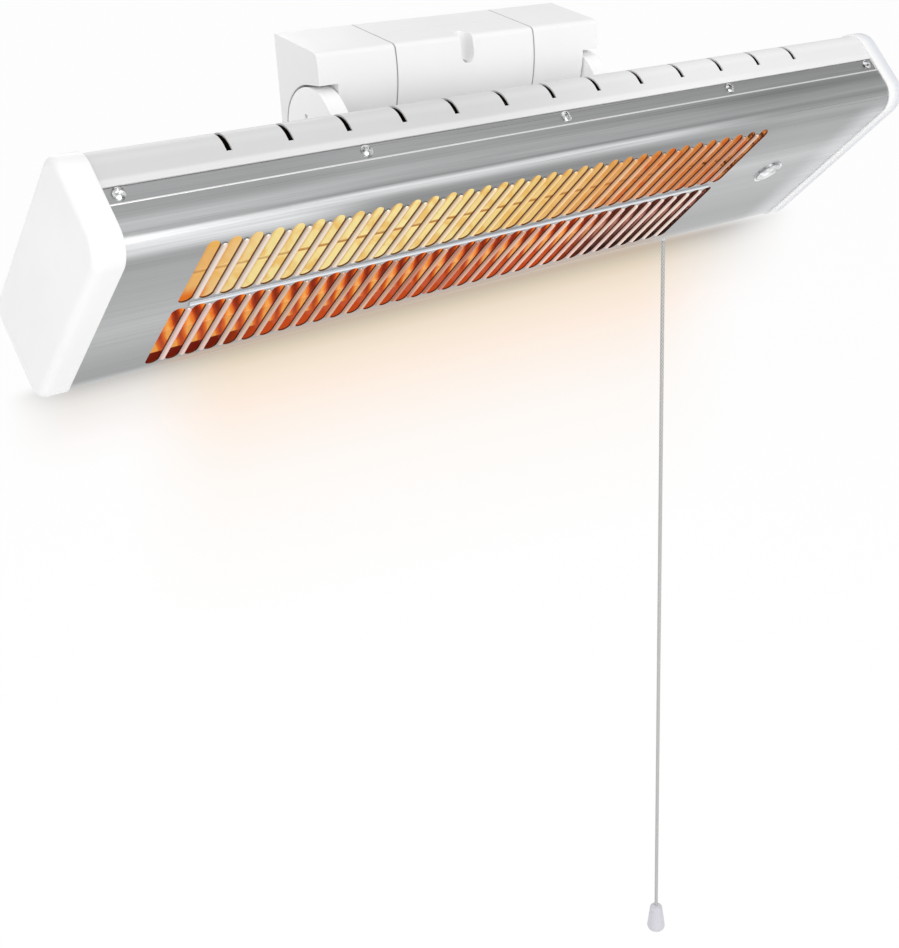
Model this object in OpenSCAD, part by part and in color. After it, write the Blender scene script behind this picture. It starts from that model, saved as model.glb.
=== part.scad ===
// Wall-mounted infrared patio heater with a tilting head and a pull cord.
// Millimetres. X runs along the heater, Y into the wall, Z up.
// The origin is the middle of the bracket's back face, on the wall.
// The head is built around its own pivot axis with its face to -Y, then tilted.

/* [Head] */
// Length of the head over its end caps
head_len = 600; // [560:5:700]
// Height of the head's section
head_h = 147; // [142:1:156]
// Depth of the head's section, face to back
head_d = 60; // [54:1:68]
// Height of the head's top above the pivot axis
head_rise = 78; // [74:1:84]
// Clear distance from the pivot axis to the head's back
pivot_gap = 35; // [34:1:44]
// Tilt of the face below the horizontal, as stored
tilt = 49; // [20:1:55]
// Least tilt of the face
tilt_min = 5; // [0:1:15]
// Greatest tilt of the face
tilt_max = 55; // [55:1:58]
// Radius of the upper front edge
r_front_top = 14; // [8:1:16]
// Radius of the upper back edge
r_back_top = 14; // [8:1:20]
// Radius of the lower back edge
r_back_bottom = 10; // [8:1:18]
// Radius of the lower front edge
r_front_bottom = 11; // [6:1:14]

/* [Front cover] */
// Thickness of the steel sheet
sheet = 1; // [0.6:0.1:1.2]
// Depth of the front cover's top side, back to the fold line
lip_depth = 25.5; // [22:0.5:27]
// Width of the screw strip behind the fold line
strip_w = 8.5; // [7:0.5:10]
// Step down from the fold line to the screw strip
strip_step = 0.8; // [0.4:0.1:0.8]
// Depth of the front cover's lower lip
lower_lip = 12; // [11:0.5:14]
// Left edge of the grille from the end of the sheet
grille_margin = 42; // [36:1:60]
// Top of the grille below the top of the head
grille_drop = 8; // [6:0.5:12]
// Slots in each row
slot_count = 34; // [20:1:36]
// Distance from slot to slot
slot_pitch = 12; // [11:0.5:12.5]
// Width of a slot
slot_w = 8; // [5:0.5:9]
// Height of the upper row of slots
upper_slot_h = 56.5; // [45:0.5:58]
// Height of the lower row of slots
lower_slot_h = 60.5; // [45:0.5:62]
// Rail between the two rows
rail_h = 6; // [4:0.5:10]
// How far the pressed bars stand out of the face
bar_rise = 1.2; // [0.6:0.1:1.5]
// Distance between the cover's screws
strip_screw_pitch = 138.5; // [110:0.5:160]
// Distance of an end cap's screw from the end of the body
cap_screw_edge = 7; // [5:0.5:9]
// Radius of the indicator lens
lens_r = 10.5; // [6:0.5:12]

/* [Rear shell] */
// Wall of the rear shell
shell_wall = 1.4; // [1:0.1:2]
// Vent slits along the upper back edge
vent_count = 13; // [5:2:15]
// Distance from vent to vent
vent_pitch = 35.3; // [28:0.1:36]
// Width of a vent slit
vent_w = 3.2; // [1.5:0.1:4]
// How far a vent slit runs forward of the back
vent_run = 17; // [12:1:20]
// Sideways shift of the row of vent slits
vent_shift = -1.5; // [-4:0.5:4]

/* [End caps] */
// Depth of an end cap beyond the sheet
cap_depth = 16; // [12:1:22]
// How far a cap stands proud of the sheet
cap_proud = 1.2; // [0.6:0.1:2]
// Radius of a cap's outer edge
cap_edge = 5; // [3:0.5:8]
// Wall of an end cap
cap_wall = 2.4; // [1.8:0.2:3]

/* [Heating] */
// Outer radius of a quartz tube
tube_r = 6.2; // [5:0.1:7]
// Wall of a quartz tube
tube_wall = 1.1; // [0.8:0.1:1.4]
// Distance from tube to tube
tube_pitch = 31; // [28:0.5:33]
// Tube axis behind the face
tube_depth = 10; // [9.5:0.5:12]
// Radius of a heating coil, to the middle of its wire
coil_r = 3.9; // [3:0.1:4]
// Radius of the coil's wire
wire_r = 0.55; // [0.4:0.05:0.6]
// Curls in a coil
coil_curls = 30; // [10:1:30]
// Length of a ceramic end
ceramic_len = 16; // [12:1:18]
// Radius of a ceramic end
ceramic_r = 8.6; // [8.6:0.1:10]
// Radius of the reflector's troughs
trough_r = 14.6; // [13:0.1:16]
// Thickness of the reflector and its end plates
plate_t = 0.8; // [0.6:0.1:1.2]

/* [Bracket] */
// Width of the wall bracket
bracket_w = 217; // [200:1:260]
// Height of the wall bracket
bracket_h = 90; // [88:1:98]
// Depth of the bracket at its front crease
crease_depth = 43; // [42:0.5:46]
// Height of the crease above the bracket's middle
crease_z = 36; // [34:0.5:40]
// Radius of the bracket's convex front
front_r = 76; // [70:1:90]
// Height of the front's foremost line above the middle
front_z = 22; // [16:0.5:24]
// Wall of the bracket's mouldings
bracket_wall = 2.8; // [2:0.2:3.2]
// Radius of the crease between the bracket's top and front
crease_r = 4; // [3.6:0.2:6]
// Width of the middle cover
cover_w = 107; // [90:1:120]
// Distance from the wall to the middle cover's upper seam
cover_seam = 21; // [16:1:30]
// Pivot axis in front of the wall
pivot_y = 31; // [31:0.5:36]
// Pivot axis below the bracket's middle
pivot_drop = 7; // [4:0.5:9]

/* [Wall plate] */
// Width of the wall plate
plate_w = 186; // [160:1:190]
// Height of the wall plate
plate_h = 76; // [66:1:80]
// Thickness of the wall plate
plate_depth = 2; // [1.5:0.5:3]
// Distance between the wall screws along X
wall_hole_x = 72; // [50:1:80]
// Distance between the wall screws along Z
wall_hole_z = 44; // [30:1:52]
// Radius of a wall screw hole
wall_hole_r = 3.25; // [2:0.25:3.5]

/* [Pivots] */
// Radius of a pivot lug
lug_r = 24; // [20:0.5:24]
// Width of a pivot lug
lug_w = 12; // [9:0.5:14]
// Radius of a pivot bolt
bolt_r = 3; // [2.5:0.5:4]
// Radius of a pivot bolt's head
bolt_head_r = 5.2; // [4.8:0.1:6]
// Thickness of a friction washer
washer_t = 0.8; // [0.6:0.1:1.5]

/* [Pull cord] */
// Distance of the cord from the middle of the head
cord_x = 198; // [190:1:215]
// Cord exit behind the face
cord_depth = 20; // [19:0.5:26]
// Radius of the cord
cord_r = 1.5; // [0.8:0.1:1.8]
// Free length of the cord, ring to knob
cord_len = 620; // [300:10:900]
// Radius of the bell knob at its mouth
knob_r = 8.1; // [5:0.1:10]
// Height of the bell knob
knob_h = 26; // [18:0.5:32]
// Travel of the pull switch
pull_travel = 10; // [4:1:12]
// Wire radius of the switch eye and the cord ring
ring_wire = 0.7; // [0.5:0.1:0.9]
// Radius of the switch eye and the cord ring
ring_r = 3; // [2.6:0.1:4]

/* [Hidden] */
$fn = 64;
EPS = 0.01;
GAP = 0.3;
FIT = 0.06;

WHITE = [0.95, 0.95, 0.94];
STEEL = [0.72, 0.73, 0.74];
ZINC = [0.62, 0.64, 0.66];
BRIGHT = [0.86, 0.86, 0.85];
GLOW = [1.0, 0.78, 0.35];
HOT = [0.95, 0.35, 0.08];
CERAMIC = [0.90, 0.87, 0.80];
BLACK = [0.12, 0.12, 0.13];
BRASS = [0.80, 0.65, 0.35];

// Head, in its own frame: origin on the pivot axis, face to -Y
body_len = head_len - 2 * cap_depth;
face_y = -pivot_gap - head_d;
back_y = -pivot_gap;
top_z = head_rise;
bottom_z = head_rise - head_h;
corner_r = [r_front_bottom, r_front_top, r_back_top, r_back_bottom];
lip_y = face_y + lip_depth;
strip_y = lip_y + strip_w;
lower_y = face_y + lower_lip;

// Grille
grille_x = -body_len / 2 + grille_margin;
grille_w = (slot_count - 1) * slot_pitch + slot_w;
grille_right = grille_x + grille_w;
grille_top = top_z - grille_drop;
grille_h = upper_slot_h + rail_h + lower_slot_h;
grille_mid = grille_top - grille_h / 2;

// Heating, all set from the grille
tube_y = face_y + tube_depth;
tube_z = [grille_mid + tube_pitch, grille_mid, grille_mid - tube_pitch];
end_plate_left = grille_x - 10;
end_plate_right = grille_right + 8;
tube_left = end_plate_left - 10;
tube_right = end_plate_right + plate_t + 10;
tube_bore = tube_r - tube_wall;
coil_step = (end_plate_right - end_plate_left - 16) / coil_curls;
trough_top = tube_z[0] + trough_r;
trough_bottom = tube_z[2] - trough_r;
reflector_front = face_y + sheet + 1.5;
hem_r = 0.7;
flare_top = grille_top - 2.5;
flare_bottom = grille_top - grille_h - 2;

// Spigot of an end cap, and its depth under the head's surface
spigot = cap_screw_edge + 5;
spigot_in = 4.2;

// Screws of the cover
screw_head_r = 3.4;
screw_head_h = 2.1;
screw_r = 1.4;
strip_screw_y = lip_y + strip_w / 2 + 0.6;
// The outermost strip screws hold the end caps by their spigots
cap_screw_x = body_len / 2 - cap_screw_edge;
pitch_screws = floor(cap_screw_x / strip_screw_pitch - 0.5);
strip_screw_x = concat([-cap_screw_x],
    [for (i = [-pitch_screws:pitch_screws]) i * strip_screw_pitch], [cap_screw_x]);
strip_face = top_z - strip_step;

// Indicator
lens_x = (grille_right + body_len / 2) / 2 - 9;
lens_z = grille_mid + 3;

// Bracket
half_w = bracket_w / 2;
half_h = bracket_h / 2;
pivot_z = -pivot_drop;
web_x = half_w - lug_w - 0.2 - washer_t;
web_t = 3.5;
notch_r = lug_r + 1.3;
bay_x = cover_w / 2;
bay_wall = 3.5;
back_wall = 3;
lug_x = half_w - lug_w / 2;
arc_centre = [sqrt(pow(front_r, 2) - pow(crease_z - front_z, 2)) - crease_depth, front_z];
slope_top = [0, half_h + 0.6];
slope_dir = [-crease_depth, crease_z] - slope_top;
slope_u = slope_dir / norm(slope_dir);
slope_n = [slope_u.y, -slope_u.x];
crease_w = slope_top - crease_r * slope_n - arc_centre;
crease_c = arc_centre + crease_w + slope_u * (sqrt(pow(crease_w * slope_u, 2) - crease_w * crease_w
    + pow(front_r - crease_r, 2)) - crease_w * slope_u);
crease_v = (crease_c - arc_centre) / norm(crease_c - arc_centre);
lug_foot_t = 2.5;
lug_foot_h = 2 * lug_r * 1.42;
bolt_head_h = 3.3;
counterbore = 4.5;
nut_t = 5;
nut_r = bolt_r * 1.92;
boss_t = 4;
channel_r = 4.9;
channel_wall = 2;
channel_floor = crease_z - 16;
channel_y = -crease_depth + channel_r;
plate_screw_x = (bay_x + web_x) / 2;
plate_screw_z = plate_h / 2 - 9;
plate_screw_r = 0.55 * wall_hole_r;
plate_screw_head = 2 * plate_screw_r;
// Room for a wall screw's head in the back of the middle moulding
wall_head_r = 2 * wall_hole_r;
plate_screw_len = 5.5 * plate_depth;
post_r = 2.5 * plate_screw_r;
washer_r = 2.6 * bolt_r;
seam_gap = 0.05;

// Pull switch, in the head's frame
cord_y = face_y + cord_depth;
bush_r = 3.8;
link_r = 1.5;
bush_bore = link_r + FIT;
eye_z = bottom_z - 5.5 - ring_r;
hinge_z = eye_z - ring_r;
switch_size = [26, 22, 24];
pin_r = 1.5;
pin_len = 6;
switch_shift = 8.8;
switch_z = bottom_z + 22;
plunger_r = 2.9;
plunger_t = 2;
plunger_room = 8;
hinge_point = [cord_x, -pivot_y + cord_y * cos(tilt) - hinge_z * sin(tilt),
    pivot_z + cord_y * sin(tilt) + hinge_z * cos(tilt)];
ring_drop = ring_r - 2 * ring_wire - 0.25;
ferrule_h = 8;
cord_top = hinge_point.z - ring_drop - ring_r - ferrule_h;
knob_top = cord_top - cord_len;
cord_rings = 76;
cord_route = [for (i = [0:cord_rings]) [cord_x, hinge_point.y, cord_top - cord_len * i / cord_rings]];

// Helpers

// Puts a shape drawn in the head's frame where the tilted head is
module on_head() {
    translate([0, -pivot_y, pivot_z]) rotate([tilt, 0, 0]) children();
}

// Extrudes a (Y, Z) section along X, from x0 to x1
module along_x(x0, x1) {
    translate([x0, 0, 0]) rotate([90, 0, 90]) linear_extrude(x1 - x0) children();
}

// Cylinder along X
module rod_x(r, x0, x1) {
    translate([x0, 0, 0]) rotate([0, 90, 0]) cylinder(r = r, h = x1 - x0);
}

// Cylinder along Y, from y0 to y1
module rod_y(r, y0, y1) {
    translate([0, y0, 0]) rotate([-90, 0, 0]) cylinder(r = r, h = y1 - y0);
}

// Rectangle in (Y, Z) with its own radius at each corner, drawn with true arcs
module rounded_box(y0, y1, z0, z1, r) {
    polygon([[y0, z0 + r[0]], [y0, z1 - r[1]], [y0 + r[1], z1], [y1 - r[2], z1],
        [y1, z1 - r[2]], [y1, z0 + r[3]], [y1 - r[3], z0], [y0 + r[0], z0]]);
    translate([y0 + r[0], z0 + r[0]]) circle(r[0]);
    translate([y0 + r[1], z1 - r[1]]) circle(r[1]);
    translate([y1 - r[2], z1 - r[2]]) circle(r[2]);
    translate([y1 - r[3], z0 + r[3]]) circle(r[3]);
}

// The head's section, drawn in by d
module section(d) {
    rounded_box(face_y + d, back_y - d, bottom_z + d, top_z - d, [for (r = corner_r) r - d]);
}

// A wall that follows the head's section, from depth a to depth b
module section_wall(a, b) {
    difference() {
        section(a);
        section(b);
    }
}

// The same section as points, for the loft of the end caps
function arc_points(c, r, a0, steps = 6) = [for (i = [0:steps]) c + r * [cos(a0 - 90 * i / steps),
    sin(a0 - 90 * i / steps)]];
function section_points(d) = concat(
    arc_points([face_y + corner_r[0], bottom_z + corner_r[0]], corner_r[0] - d, 270),
    arc_points([face_y + corner_r[1], top_z - corner_r[1]], corner_r[1] - d, 180),
    arc_points([back_y - corner_r[2], top_z - corner_r[2]], corner_r[2] - d, 90),
    arc_points([back_y - corner_r[3], bottom_z + corner_r[3]], corner_r[3] - d, 0));

// Skins a stack of rings with the same number of points and closes both ends
module loft(rings) {
    n = len(rings[0]);
    m = len(rings);
    sides = [for (j = [0:m - 2], i = [0:n - 1]) let (k = (i + 1) % n)
        each [[j * n + i, j * n + k, (j + 1) * n + k], [j * n + i, (j + 1) * n + k, (j + 1) * n + i]]];
    first = [for (i = [1:n - 2]) [0, i + 1, i]];
    e = (m - 1) * n;
    last = [for (i = [1:n - 2]) [e, e + i, e + i + 1]];
    polyhedron([for (ring = rings) each ring], concat(sides, first, last), convexity = 8);
}

// Rings of a tube swept along a path, with the section turned by the path's own frame
function unit(v) = v / norm(v);
function tangent(p, i) = unit(p[min(i + 1, len(p) - 1)] - p[max(i - 1, 0)]);
function tube_ring(c, t, up, r, sides) = let (u = unit(cross(t, up)), v = cross(u, t))
    [for (k = [0:sides - 1]) c + r * (u * cos(360 * k / sides) + v * sin(360 * k / sides))];

// Pan head screw, head up, its seat at z = 0
module pan_screw(head_r, head_h, shank_r, shank) {
    difference() {
        union() {
            intersection() {
                cylinder(r = head_r, h = head_h);
                translate([0, 0, head_h - head_r * 1.5]) sphere(r = head_r * 1.5);
            }
            translate([0, 0, -shank]) cylinder(r = shank_r, h = shank + EPS);
        }
        for (a = [0, 90]) rotate(a) translate([-head_r * 0.55, -0.45, head_h - 1.1])
            cube([head_r * 1.1, 0.9, 2]);
    }
}

// Wall bracket

// The bracket's side outline, drawn in by d, with its back at y = 0 and its floor drawn in by e
module bracket_side(d, e) {
    far = 2 * bracket_h;
    difference() {
        intersection() {
            translate(arc_centre) circle(front_r - d, $fn = 160);
            polygon([slope_top - d * slope_n, slope_top - d * slope_n + far * slope_u, [-far, -half_h + e],
                [0, -half_h + e]]);
        }
        polygon([crease_c, crease_c + far * slope_n, crease_c + far * (slope_n + crease_v),
            crease_c + far * crease_v]);
    }
    translate(crease_c) circle(crease_r - d);
}

// The skin of the bracket's top and front where the middle cover lies
module cover_skin(d, seam) {
    difference() {
        intersection() {
            bracket_side(0, 0);
            polygon([[-seam, bracket_h], [-seam, 0], [0, 0], [0, -bracket_h], [-bracket_h, -bracket_h],
                [-bracket_h, bracket_h]]);
        }
        bracket_side(d, -1);
    }
}

// Room for a lug over its whole swing, about the pivot axis
module swing_notch() {
    reach = 2 * bracket_h;
    heel = notch_r * [sin(tilt_max), -cos(tilt_max)];
    toe = heel - reach * [cos(tilt_max), sin(tilt_max)];
    circle(notch_r);
    polygon([[0, notch_r], [-reach, notch_r], [-reach, toe.y], toe, heel]);
}

module wall_plate() {
    color(ZINC) difference() {
        translate([-plate_w / 2, -plate_depth, -plate_h / 2]) cube([plate_w, plate_depth, plate_h]);
        for (x = [-1, 1], z = [-1, 1]) {
            translate([x * wall_hole_x / 2, 0, z * wall_hole_z / 2]) rod_y(wall_hole_r, -plate_depth - 1, 1);
            translate([x * plate_screw_x, 0, z * plate_screw_z]) {
                rod_y(plate_screw_r + 0.2, -plate_depth - 1, 1);
                rotate([90, 0, 0]) translate([0, 0, -EPS])
                    cylinder(r1 = plate_screw_head + 0.2, r2 = plate_screw_r + 0.2, h = plate_depth - 0.1);
            }
        }
    }
}

// Seat of the wall plate in the back of a moulding
module plate_seat() {
    translate([-plate_w / 2 - GAP, -plate_depth, -plate_h / 2 - GAP])
        cube([plate_w + 2 * GAP, plate_depth + 1, plate_h + 2 * GAP]);
}

// Middle moulding: the bay behind the cover
module bracket_housing() {
    skin = bracket_wall + 0.2;
    boss_top = channel_floor - channel_wall - 0.1;
    w = bay_x - seam_gap;
    color(WHITE) difference() {
        union() {
            difference() {
                along_x(-w, w) bracket_side(0, 0);
                along_x(-bay_x - 1, bay_x + 1) cover_skin(skin, cover_seam);
                translate([-bay_x + bay_wall, -bracket_h, -half_h + skin + bracket_wall])
                    cube([2 * (bay_x - bay_wall), bracket_h - plate_depth - back_wall, bracket_h - 2 * skin - 16]);
                // Room for the cover's screwdriver channel
                translate([-channel_r - channel_wall - GAP, -bracket_h, boss_top])
                    cube([2 * (channel_r + channel_wall + GAP),
                        bracket_h + channel_y + channel_r + channel_wall + GAP, bracket_h]);
            }
            // Boss and rib for the cover's screw
            intersection() {
                union() {
                    translate([0, channel_y, 0]) cylinder(r = 4, h = 2 * boss_top, center = true);
                    translate([-2, channel_y, -boss_top]) cube([4, -channel_y - plate_depth - 1, 2 * boss_top]);
                }
                along_x(-w, w) bracket_side(skin, skin);
            }
        }
        plate_seat();
        for (x = [-1, 1], z = [-1, 1]) translate([x * wall_hole_x / 2, 0, z * wall_hole_z / 2])
            rod_y(wall_head_r, -plate_depth - back_wall - 1, 0);
        translate([0, channel_y, boss_top - 14]) cylinder(r = 1.4 + FIT, h = 15);
    }
}

// Side moulding with its pivot
module shoulder() {
    color(WHITE) difference() {
        union() {
            difference() {
                along_x(bay_x + seam_gap, half_w) bracket_side(0, 0);
                // Cavity, open at the back
                along_x(bay_x + bay_wall, web_x - web_t) bracket_side(bracket_wall, bracket_wall);
                // Notch for the lug
                along_x(web_x, half_w + 1) translate([-pivot_y, pivot_z]) swing_notch();
            }
            // Boss behind the pivot
            translate([0, -pivot_y, pivot_z]) rod_x(bolt_head_r + 3, web_x - web_t - boss_t, web_x - web_t + 1);
            // Posts for the plate's screws
            for (z = [-1, 1]) intersection() {
                translate([plate_screw_x, 0, z * plate_screw_z]) rod_y(post_r, -crease_depth, 0);
                along_x(bay_x + seam_gap, web_x) bracket_side(bracket_wall / 2, bracket_wall / 2);
            }
        }
        plate_seat();
        translate([0, -pivot_y, pivot_z]) {
            rod_x(bolt_r + FIT, web_x - web_t - boss_t - 1, web_x + 1);
            rod_x(nut_r + GAP, web_x - web_t - boss_t - nut_t - 1, web_x - web_t - boss_t);
        }
        for (z = [-1, 1]) translate([plate_screw_x, 0, z * plate_screw_z])
            rod_y(plate_screw_r + FIT, -plate_screw_len - 2, 0);
    }
}

module left_shoulder() {
    mirror([1, 0, 0]) shoulder();
}

module right_shoulder() {
    shoulder();
}

// The screwdriver channel in the cover's front, its round foot at channel_floor, grown by d
module screw_channel(d) {
    r = channel_r + d;
    foot = channel_floor + channel_r;
    translate([0, channel_y, foot]) {
        sphere(r = r);
        cylinder(r = r, h = bracket_h);
        rod_y(r, -bracket_h, 0);
        translate([-r, -bracket_h, 0]) cube([2 * r, bracket_h, bracket_h]);
    }
}

module bracket_cover() {
    w = bay_x - GAP;
    color(WHITE) difference() {
        union() {
            along_x(-w, w) cover_skin(bracket_wall, cover_seam + GAP);
            intersection() {
                union() {
                    screw_channel(channel_wall);
                    translate([0, channel_y, channel_floor - channel_wall]) cylinder(r = 4, h = 6);
                }
                along_x(-w, w) bracket_side(0.5, 0);
            }
        }
        screw_channel(0);
        translate([0, channel_y, channel_floor]) cylinder(r = 3, h = 6);
        translate([0, channel_y, channel_floor - channel_wall - 1]) cylinder(r = 1.6, h = 6);
    }
}

module cover_screw() {
    color(ZINC) translate([0, channel_y, channel_floor + 0.1])
        pan_screw(2.6, 1.8, 1.4, channel_wall + 12);
}

module plate_screws() {
    color(ZINC) for (x = [-1, 1], z = [-1, 1])
        translate([x * plate_screw_x, 0, z * plate_screw_z]) rotate([90, 0, 0]) difference() {
            union() {
                translate([0, 0, 0.1]) cylinder(r1 = plate_screw_head, r2 = plate_screw_r, h = plate_depth - 0.2);
                translate([0, 0, 0.2]) cylinder(r = plate_screw_r, h = plate_screw_len);
            }
            for (a = [0, 90]) rotate(a) translate([-2, -0.4, 0]) cube([4, 0.8, 1]);
        }
}

module pivot_bolt() {
    seat = half_w - counterbore + 0.1;
    tip = web_x - web_t - boss_t - nut_t - 1.5;
    color(ZINC) translate([0, -pivot_y, pivot_z]) difference() {
        union() {
            rod_x(bolt_r, tip, seat + 1);
            translate([seat, 0, 0]) rotate([0, 90, 0]) intersection() {
                cylinder(r = bolt_head_r, h = bolt_head_h);
                translate([0, 0, bolt_head_h - bolt_head_r * 1.6]) sphere(r = bolt_head_r * 1.6);
            }
        }
        // Hexagon socket
        translate([seat + bolt_head_h - 2, 0, 0]) rotate([0, 90, 0]) cylinder(r = 2.3, h = 3, $fn = 6);
    }
}

module left_pivot_bolt() {
    mirror([1, 0, 0]) pivot_bolt();
}

module right_pivot_bolt() {
    pivot_bolt();
}

module pivot_washers() {
    color(BLACK) for (s = [0, 1]) mirror([s, 0, 0]) translate([0, -pivot_y, pivot_z]) difference() {
        rod_x(washer_r, web_x, web_x + washer_t);
        rod_x(bolt_r + FIT, web_x - 1, web_x + washer_t + 1);
    }
}

module pivot_nuts() {
    x1 = web_x - web_t - boss_t;
    color(ZINC) for (s = [0, 1]) mirror([s, 0, 0]) translate([0, -pivot_y, pivot_z]) difference() {
        translate([x1 - nut_t, 0, 0]) rotate([0, 90, 0]) cylinder(r = nut_r, h = nut_t, $fn = 6);
        rod_x(bolt_r + FIT, x1 - nut_t - 1, x1 + 1);
    }
}

// Head: covers

// One row of slots with round ends, as a (X, Z) drawing
module slot_row(z_top, h) {
    for (i = [0:slot_count - 1]) translate([grille_x + slot_w / 2 + i * slot_pitch, z_top]) {
        translate([-slot_w / 2, -h + slot_w / 2]) square([slot_w, h - slot_w]);
        translate([0, -slot_w / 2]) circle(slot_w / 2, $fn = 32);
        translate([0, -h + slot_w / 2]) circle(slot_w / 2, $fn = 32);
    }
}

// One row of bars between the slots, pressed to a rounded section with domed ends
module bar_row(z_top, h) {
    bar_half = (slot_pitch - slot_w) / 2 - 0.1;
    bar_r = (pow(bar_half, 2) + pow(bar_rise, 2)) / (2 * bar_rise);
    bars = [for (i = [1:slot_count - 1]) grille_x + i * slot_pitch - bar_half - 0.1];
    translate([0, 0, z_top - h + slot_w / 2]) linear_extrude(h - slot_w) for (x = bars) intersection() {
        translate([x, face_y - bar_rise + bar_r]) circle(bar_r);
        translate([x - bar_half, face_y - bar_rise - 1]) square([2 * bar_half, bar_rise + 1 + sheet / 2]);
    }
    for (x = bars, z = [z_top - slot_w / 2, z_top - h + slot_w / 2]) intersection() {
        translate([x, face_y - bar_rise + bar_r, z]) sphere(bar_r);
        translate([x, 0, z]) rod_y(bar_half, face_y - bar_rise - 1, face_y + sheet / 2);
    }
}

module front_cover() {
    color(STEEL) on_head() difference() {
        union() {
            bar_row(grille_top, upper_slot_h);
            bar_row(grille_top - upper_slot_h - rail_h, lower_slot_h);
            // Pressed ridge between the rows, and the hem along the lip
            translate([0, face_y + sheet / 2, grille_top - upper_slot_h - rail_h / 2])
                rod_x(bar_rise + sheet / 2, grille_x + slot_w, grille_right - slot_w);
            translate([0, lip_y - hem_r, top_z - hem_r + 0.25]) rod_x(hem_r, -body_len / 2, body_len / 2);
            along_x(-body_len / 2, body_len / 2) intersection() {
                section_wall(0, sheet);
                polygon([[face_y - 1, bottom_z - 1], [lower_y, bottom_z - 1], [lower_y, 0],
                    [lip_y, 0], [lip_y, top_z + 1], [face_y - 1, top_z + 1]]);
            }
            along_x(-body_len / 2, body_len / 2) intersection() {
                section_wall(strip_step, strip_step + sheet);
                translate([lip_y - 1.5, 0]) square([strip_w + 1.5, top_z]);
            }
        }
        translate([0, face_y + sheet + 4, 0]) rotate([90, 0, 0]) linear_extrude(sheet + 6) {
            slot_row(grille_top, upper_slot_h);
            slot_row(grille_top - upper_slot_h - rail_h, lower_slot_h);
        }
        for (x = strip_screw_x) translate([x, strip_screw_y, 0]) cylinder(r = screw_r + 0.3, h = top_z + 1);
        translate([lens_x, 0, lens_z]) rod_y(lens_r - 1 + GAP, face_y - 1, face_y + sheet + 1);
    }
}

module rear_shell() {
    under_strip = strip_step + sheet + 0.1;
    color(WHITE) on_head() difference() {
        union() {
            along_x(-body_len / 2, body_len / 2) {
                intersection() {
                    section_wall(0, shell_wall);
                    polygon([[strip_y + GAP, top_z + 1], [strip_y + GAP, 0], [lower_y + GAP, 0],
                        [lower_y + GAP, bottom_z - 1], [back_y + 1, bottom_z - 1], [back_y + 1, top_z + 1]]);
                }
                // Flange under the screw strip
                intersection() {
                    section_wall(under_strip, under_strip + shell_wall);
                    translate([lip_y + 1.5, 0]) square([strip_w + shell_wall + GAP - 1.5, top_z]);
                }
                intersection() {
                    section_wall(0, under_strip + shell_wall);
                    translate([strip_y + GAP, 0]) square([shell_wall, top_z]);
                }
                // Flange inside the lower lip
                intersection() {
                    section_wall(sheet + 0.1, sheet + 0.1 + shell_wall);
                    translate([lower_y - 3, bottom_z]) square([3 + GAP + shell_wall, head_h / 2]);
                }
                intersection() {
                    section_wall(0, sheet + 0.1 + shell_wall);
                    translate([lower_y + GAP, bottom_z]) square([shell_wall, head_h / 2]);
                }
            }
            // Pads where the lugs are screwed on
            for (s = [-1, 1], z = [-1, 1])
                translate([s * lug_x, 0, z * (lug_r + 5)]) rod_y(6, back_y - 6, back_y - shell_wall / 2);
            // Standoffs that carry the tube brackets
            for (x = [end_plate_left, end_plate_right], z = [-1, 1])
                translate([x + (x < 0 ? -4 : 4), 0, grille_mid + z * tube_pitch * 1.25])
                    rod_y(3.5, tube_y + 17 + plate_t, back_y - shell_wall / 2);
        }
        // Vent slits round the upper back edge
        for (i = [0:vent_count - 1]) translate([(i - (vent_count - 1) / 2) * vent_pitch + vent_shift - vent_w / 2,
            back_y - vent_run, top_z - r_back_top + 4]) cube([vent_w, vent_run + 1, r_back_top]);
        for (x = strip_screw_x) translate([x, strip_screw_y, top_z / 2]) cylinder(r = screw_r + FIT, h = top_z);
        for (s = [-1, 1], z = [-1, 1])
            translate([s * lug_x, 0, z * (lug_r + 5)]) rod_y(1.75 + FIT, back_y - 7, back_y + 1);
        // Exit of the pull cord and of the mains cable
        translate([cord_x, cord_y, bottom_z - 1]) cylinder(r = bush_r + FIT, h = 6);
        translate([gland_x, 0, gland_z]) rod_y(gland_r + FIT, back_y - 4, back_y + 1);
    }
}

gland_x = 236;
gland_z = 20;
gland_r = 7;
gland_bore = 3.6;
terminal_size = [34, 16, 20];
terminal_x = gland_x - 14;
terminal_z = gland_z - 24 - terminal_size.z;

module end_cap() {
    outer = [for (i = [0:5]) let (a = 90 * i / 5) [body_len / 2 + cap_depth - cap_edge * (1 - sin(a)),
        cap_edge * (1 - cos(a)) - cap_proud]];
    stations = concat([[body_len / 2 + 0.1, -cap_proud]], outer);
    color(WHITE) on_head() difference() {
        union() {
            loft([for (s = stations) [for (p = section_points(s[1])) [s[0], p.x, p.y]]]);
            // Spigot that fits inside the sheet and the shell
            along_x(body_len / 2 - spigot, body_len / 2 + 1) section_wall(spigot_in, spigot_in + cap_wall);
        }
        along_x(body_len / 2, body_len / 2 + cap_wall + 1) section(spigot_in + cap_wall);
        along_x(body_len / 2 + cap_wall, body_len / 2 + cap_depth - cap_wall) section(cap_wall + 1);
        translate([cap_screw_x, strip_screw_y, 0]) cylinder(r = screw_r + FIT, h = top_z);
    }
}

module left_end_cap() {
    mirror([1, 0, 0]) end_cap();
}

module right_end_cap() {
    end_cap();
}

module strip_screws() {
    color(ZINC) on_head() for (x = strip_screw_x) translate([x, strip_screw_y, strip_face])
        rotate(x) pan_screw(screw_head_r, screw_head_h, screw_r, 7);
}

// Head: pivot lugs

module lug_side() {
    circle(lug_r);
    translate([back_y + lug_foot_t, -lug_r]) square([pivot_gap - lug_foot_t, 2 * lug_r]);
}

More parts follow.
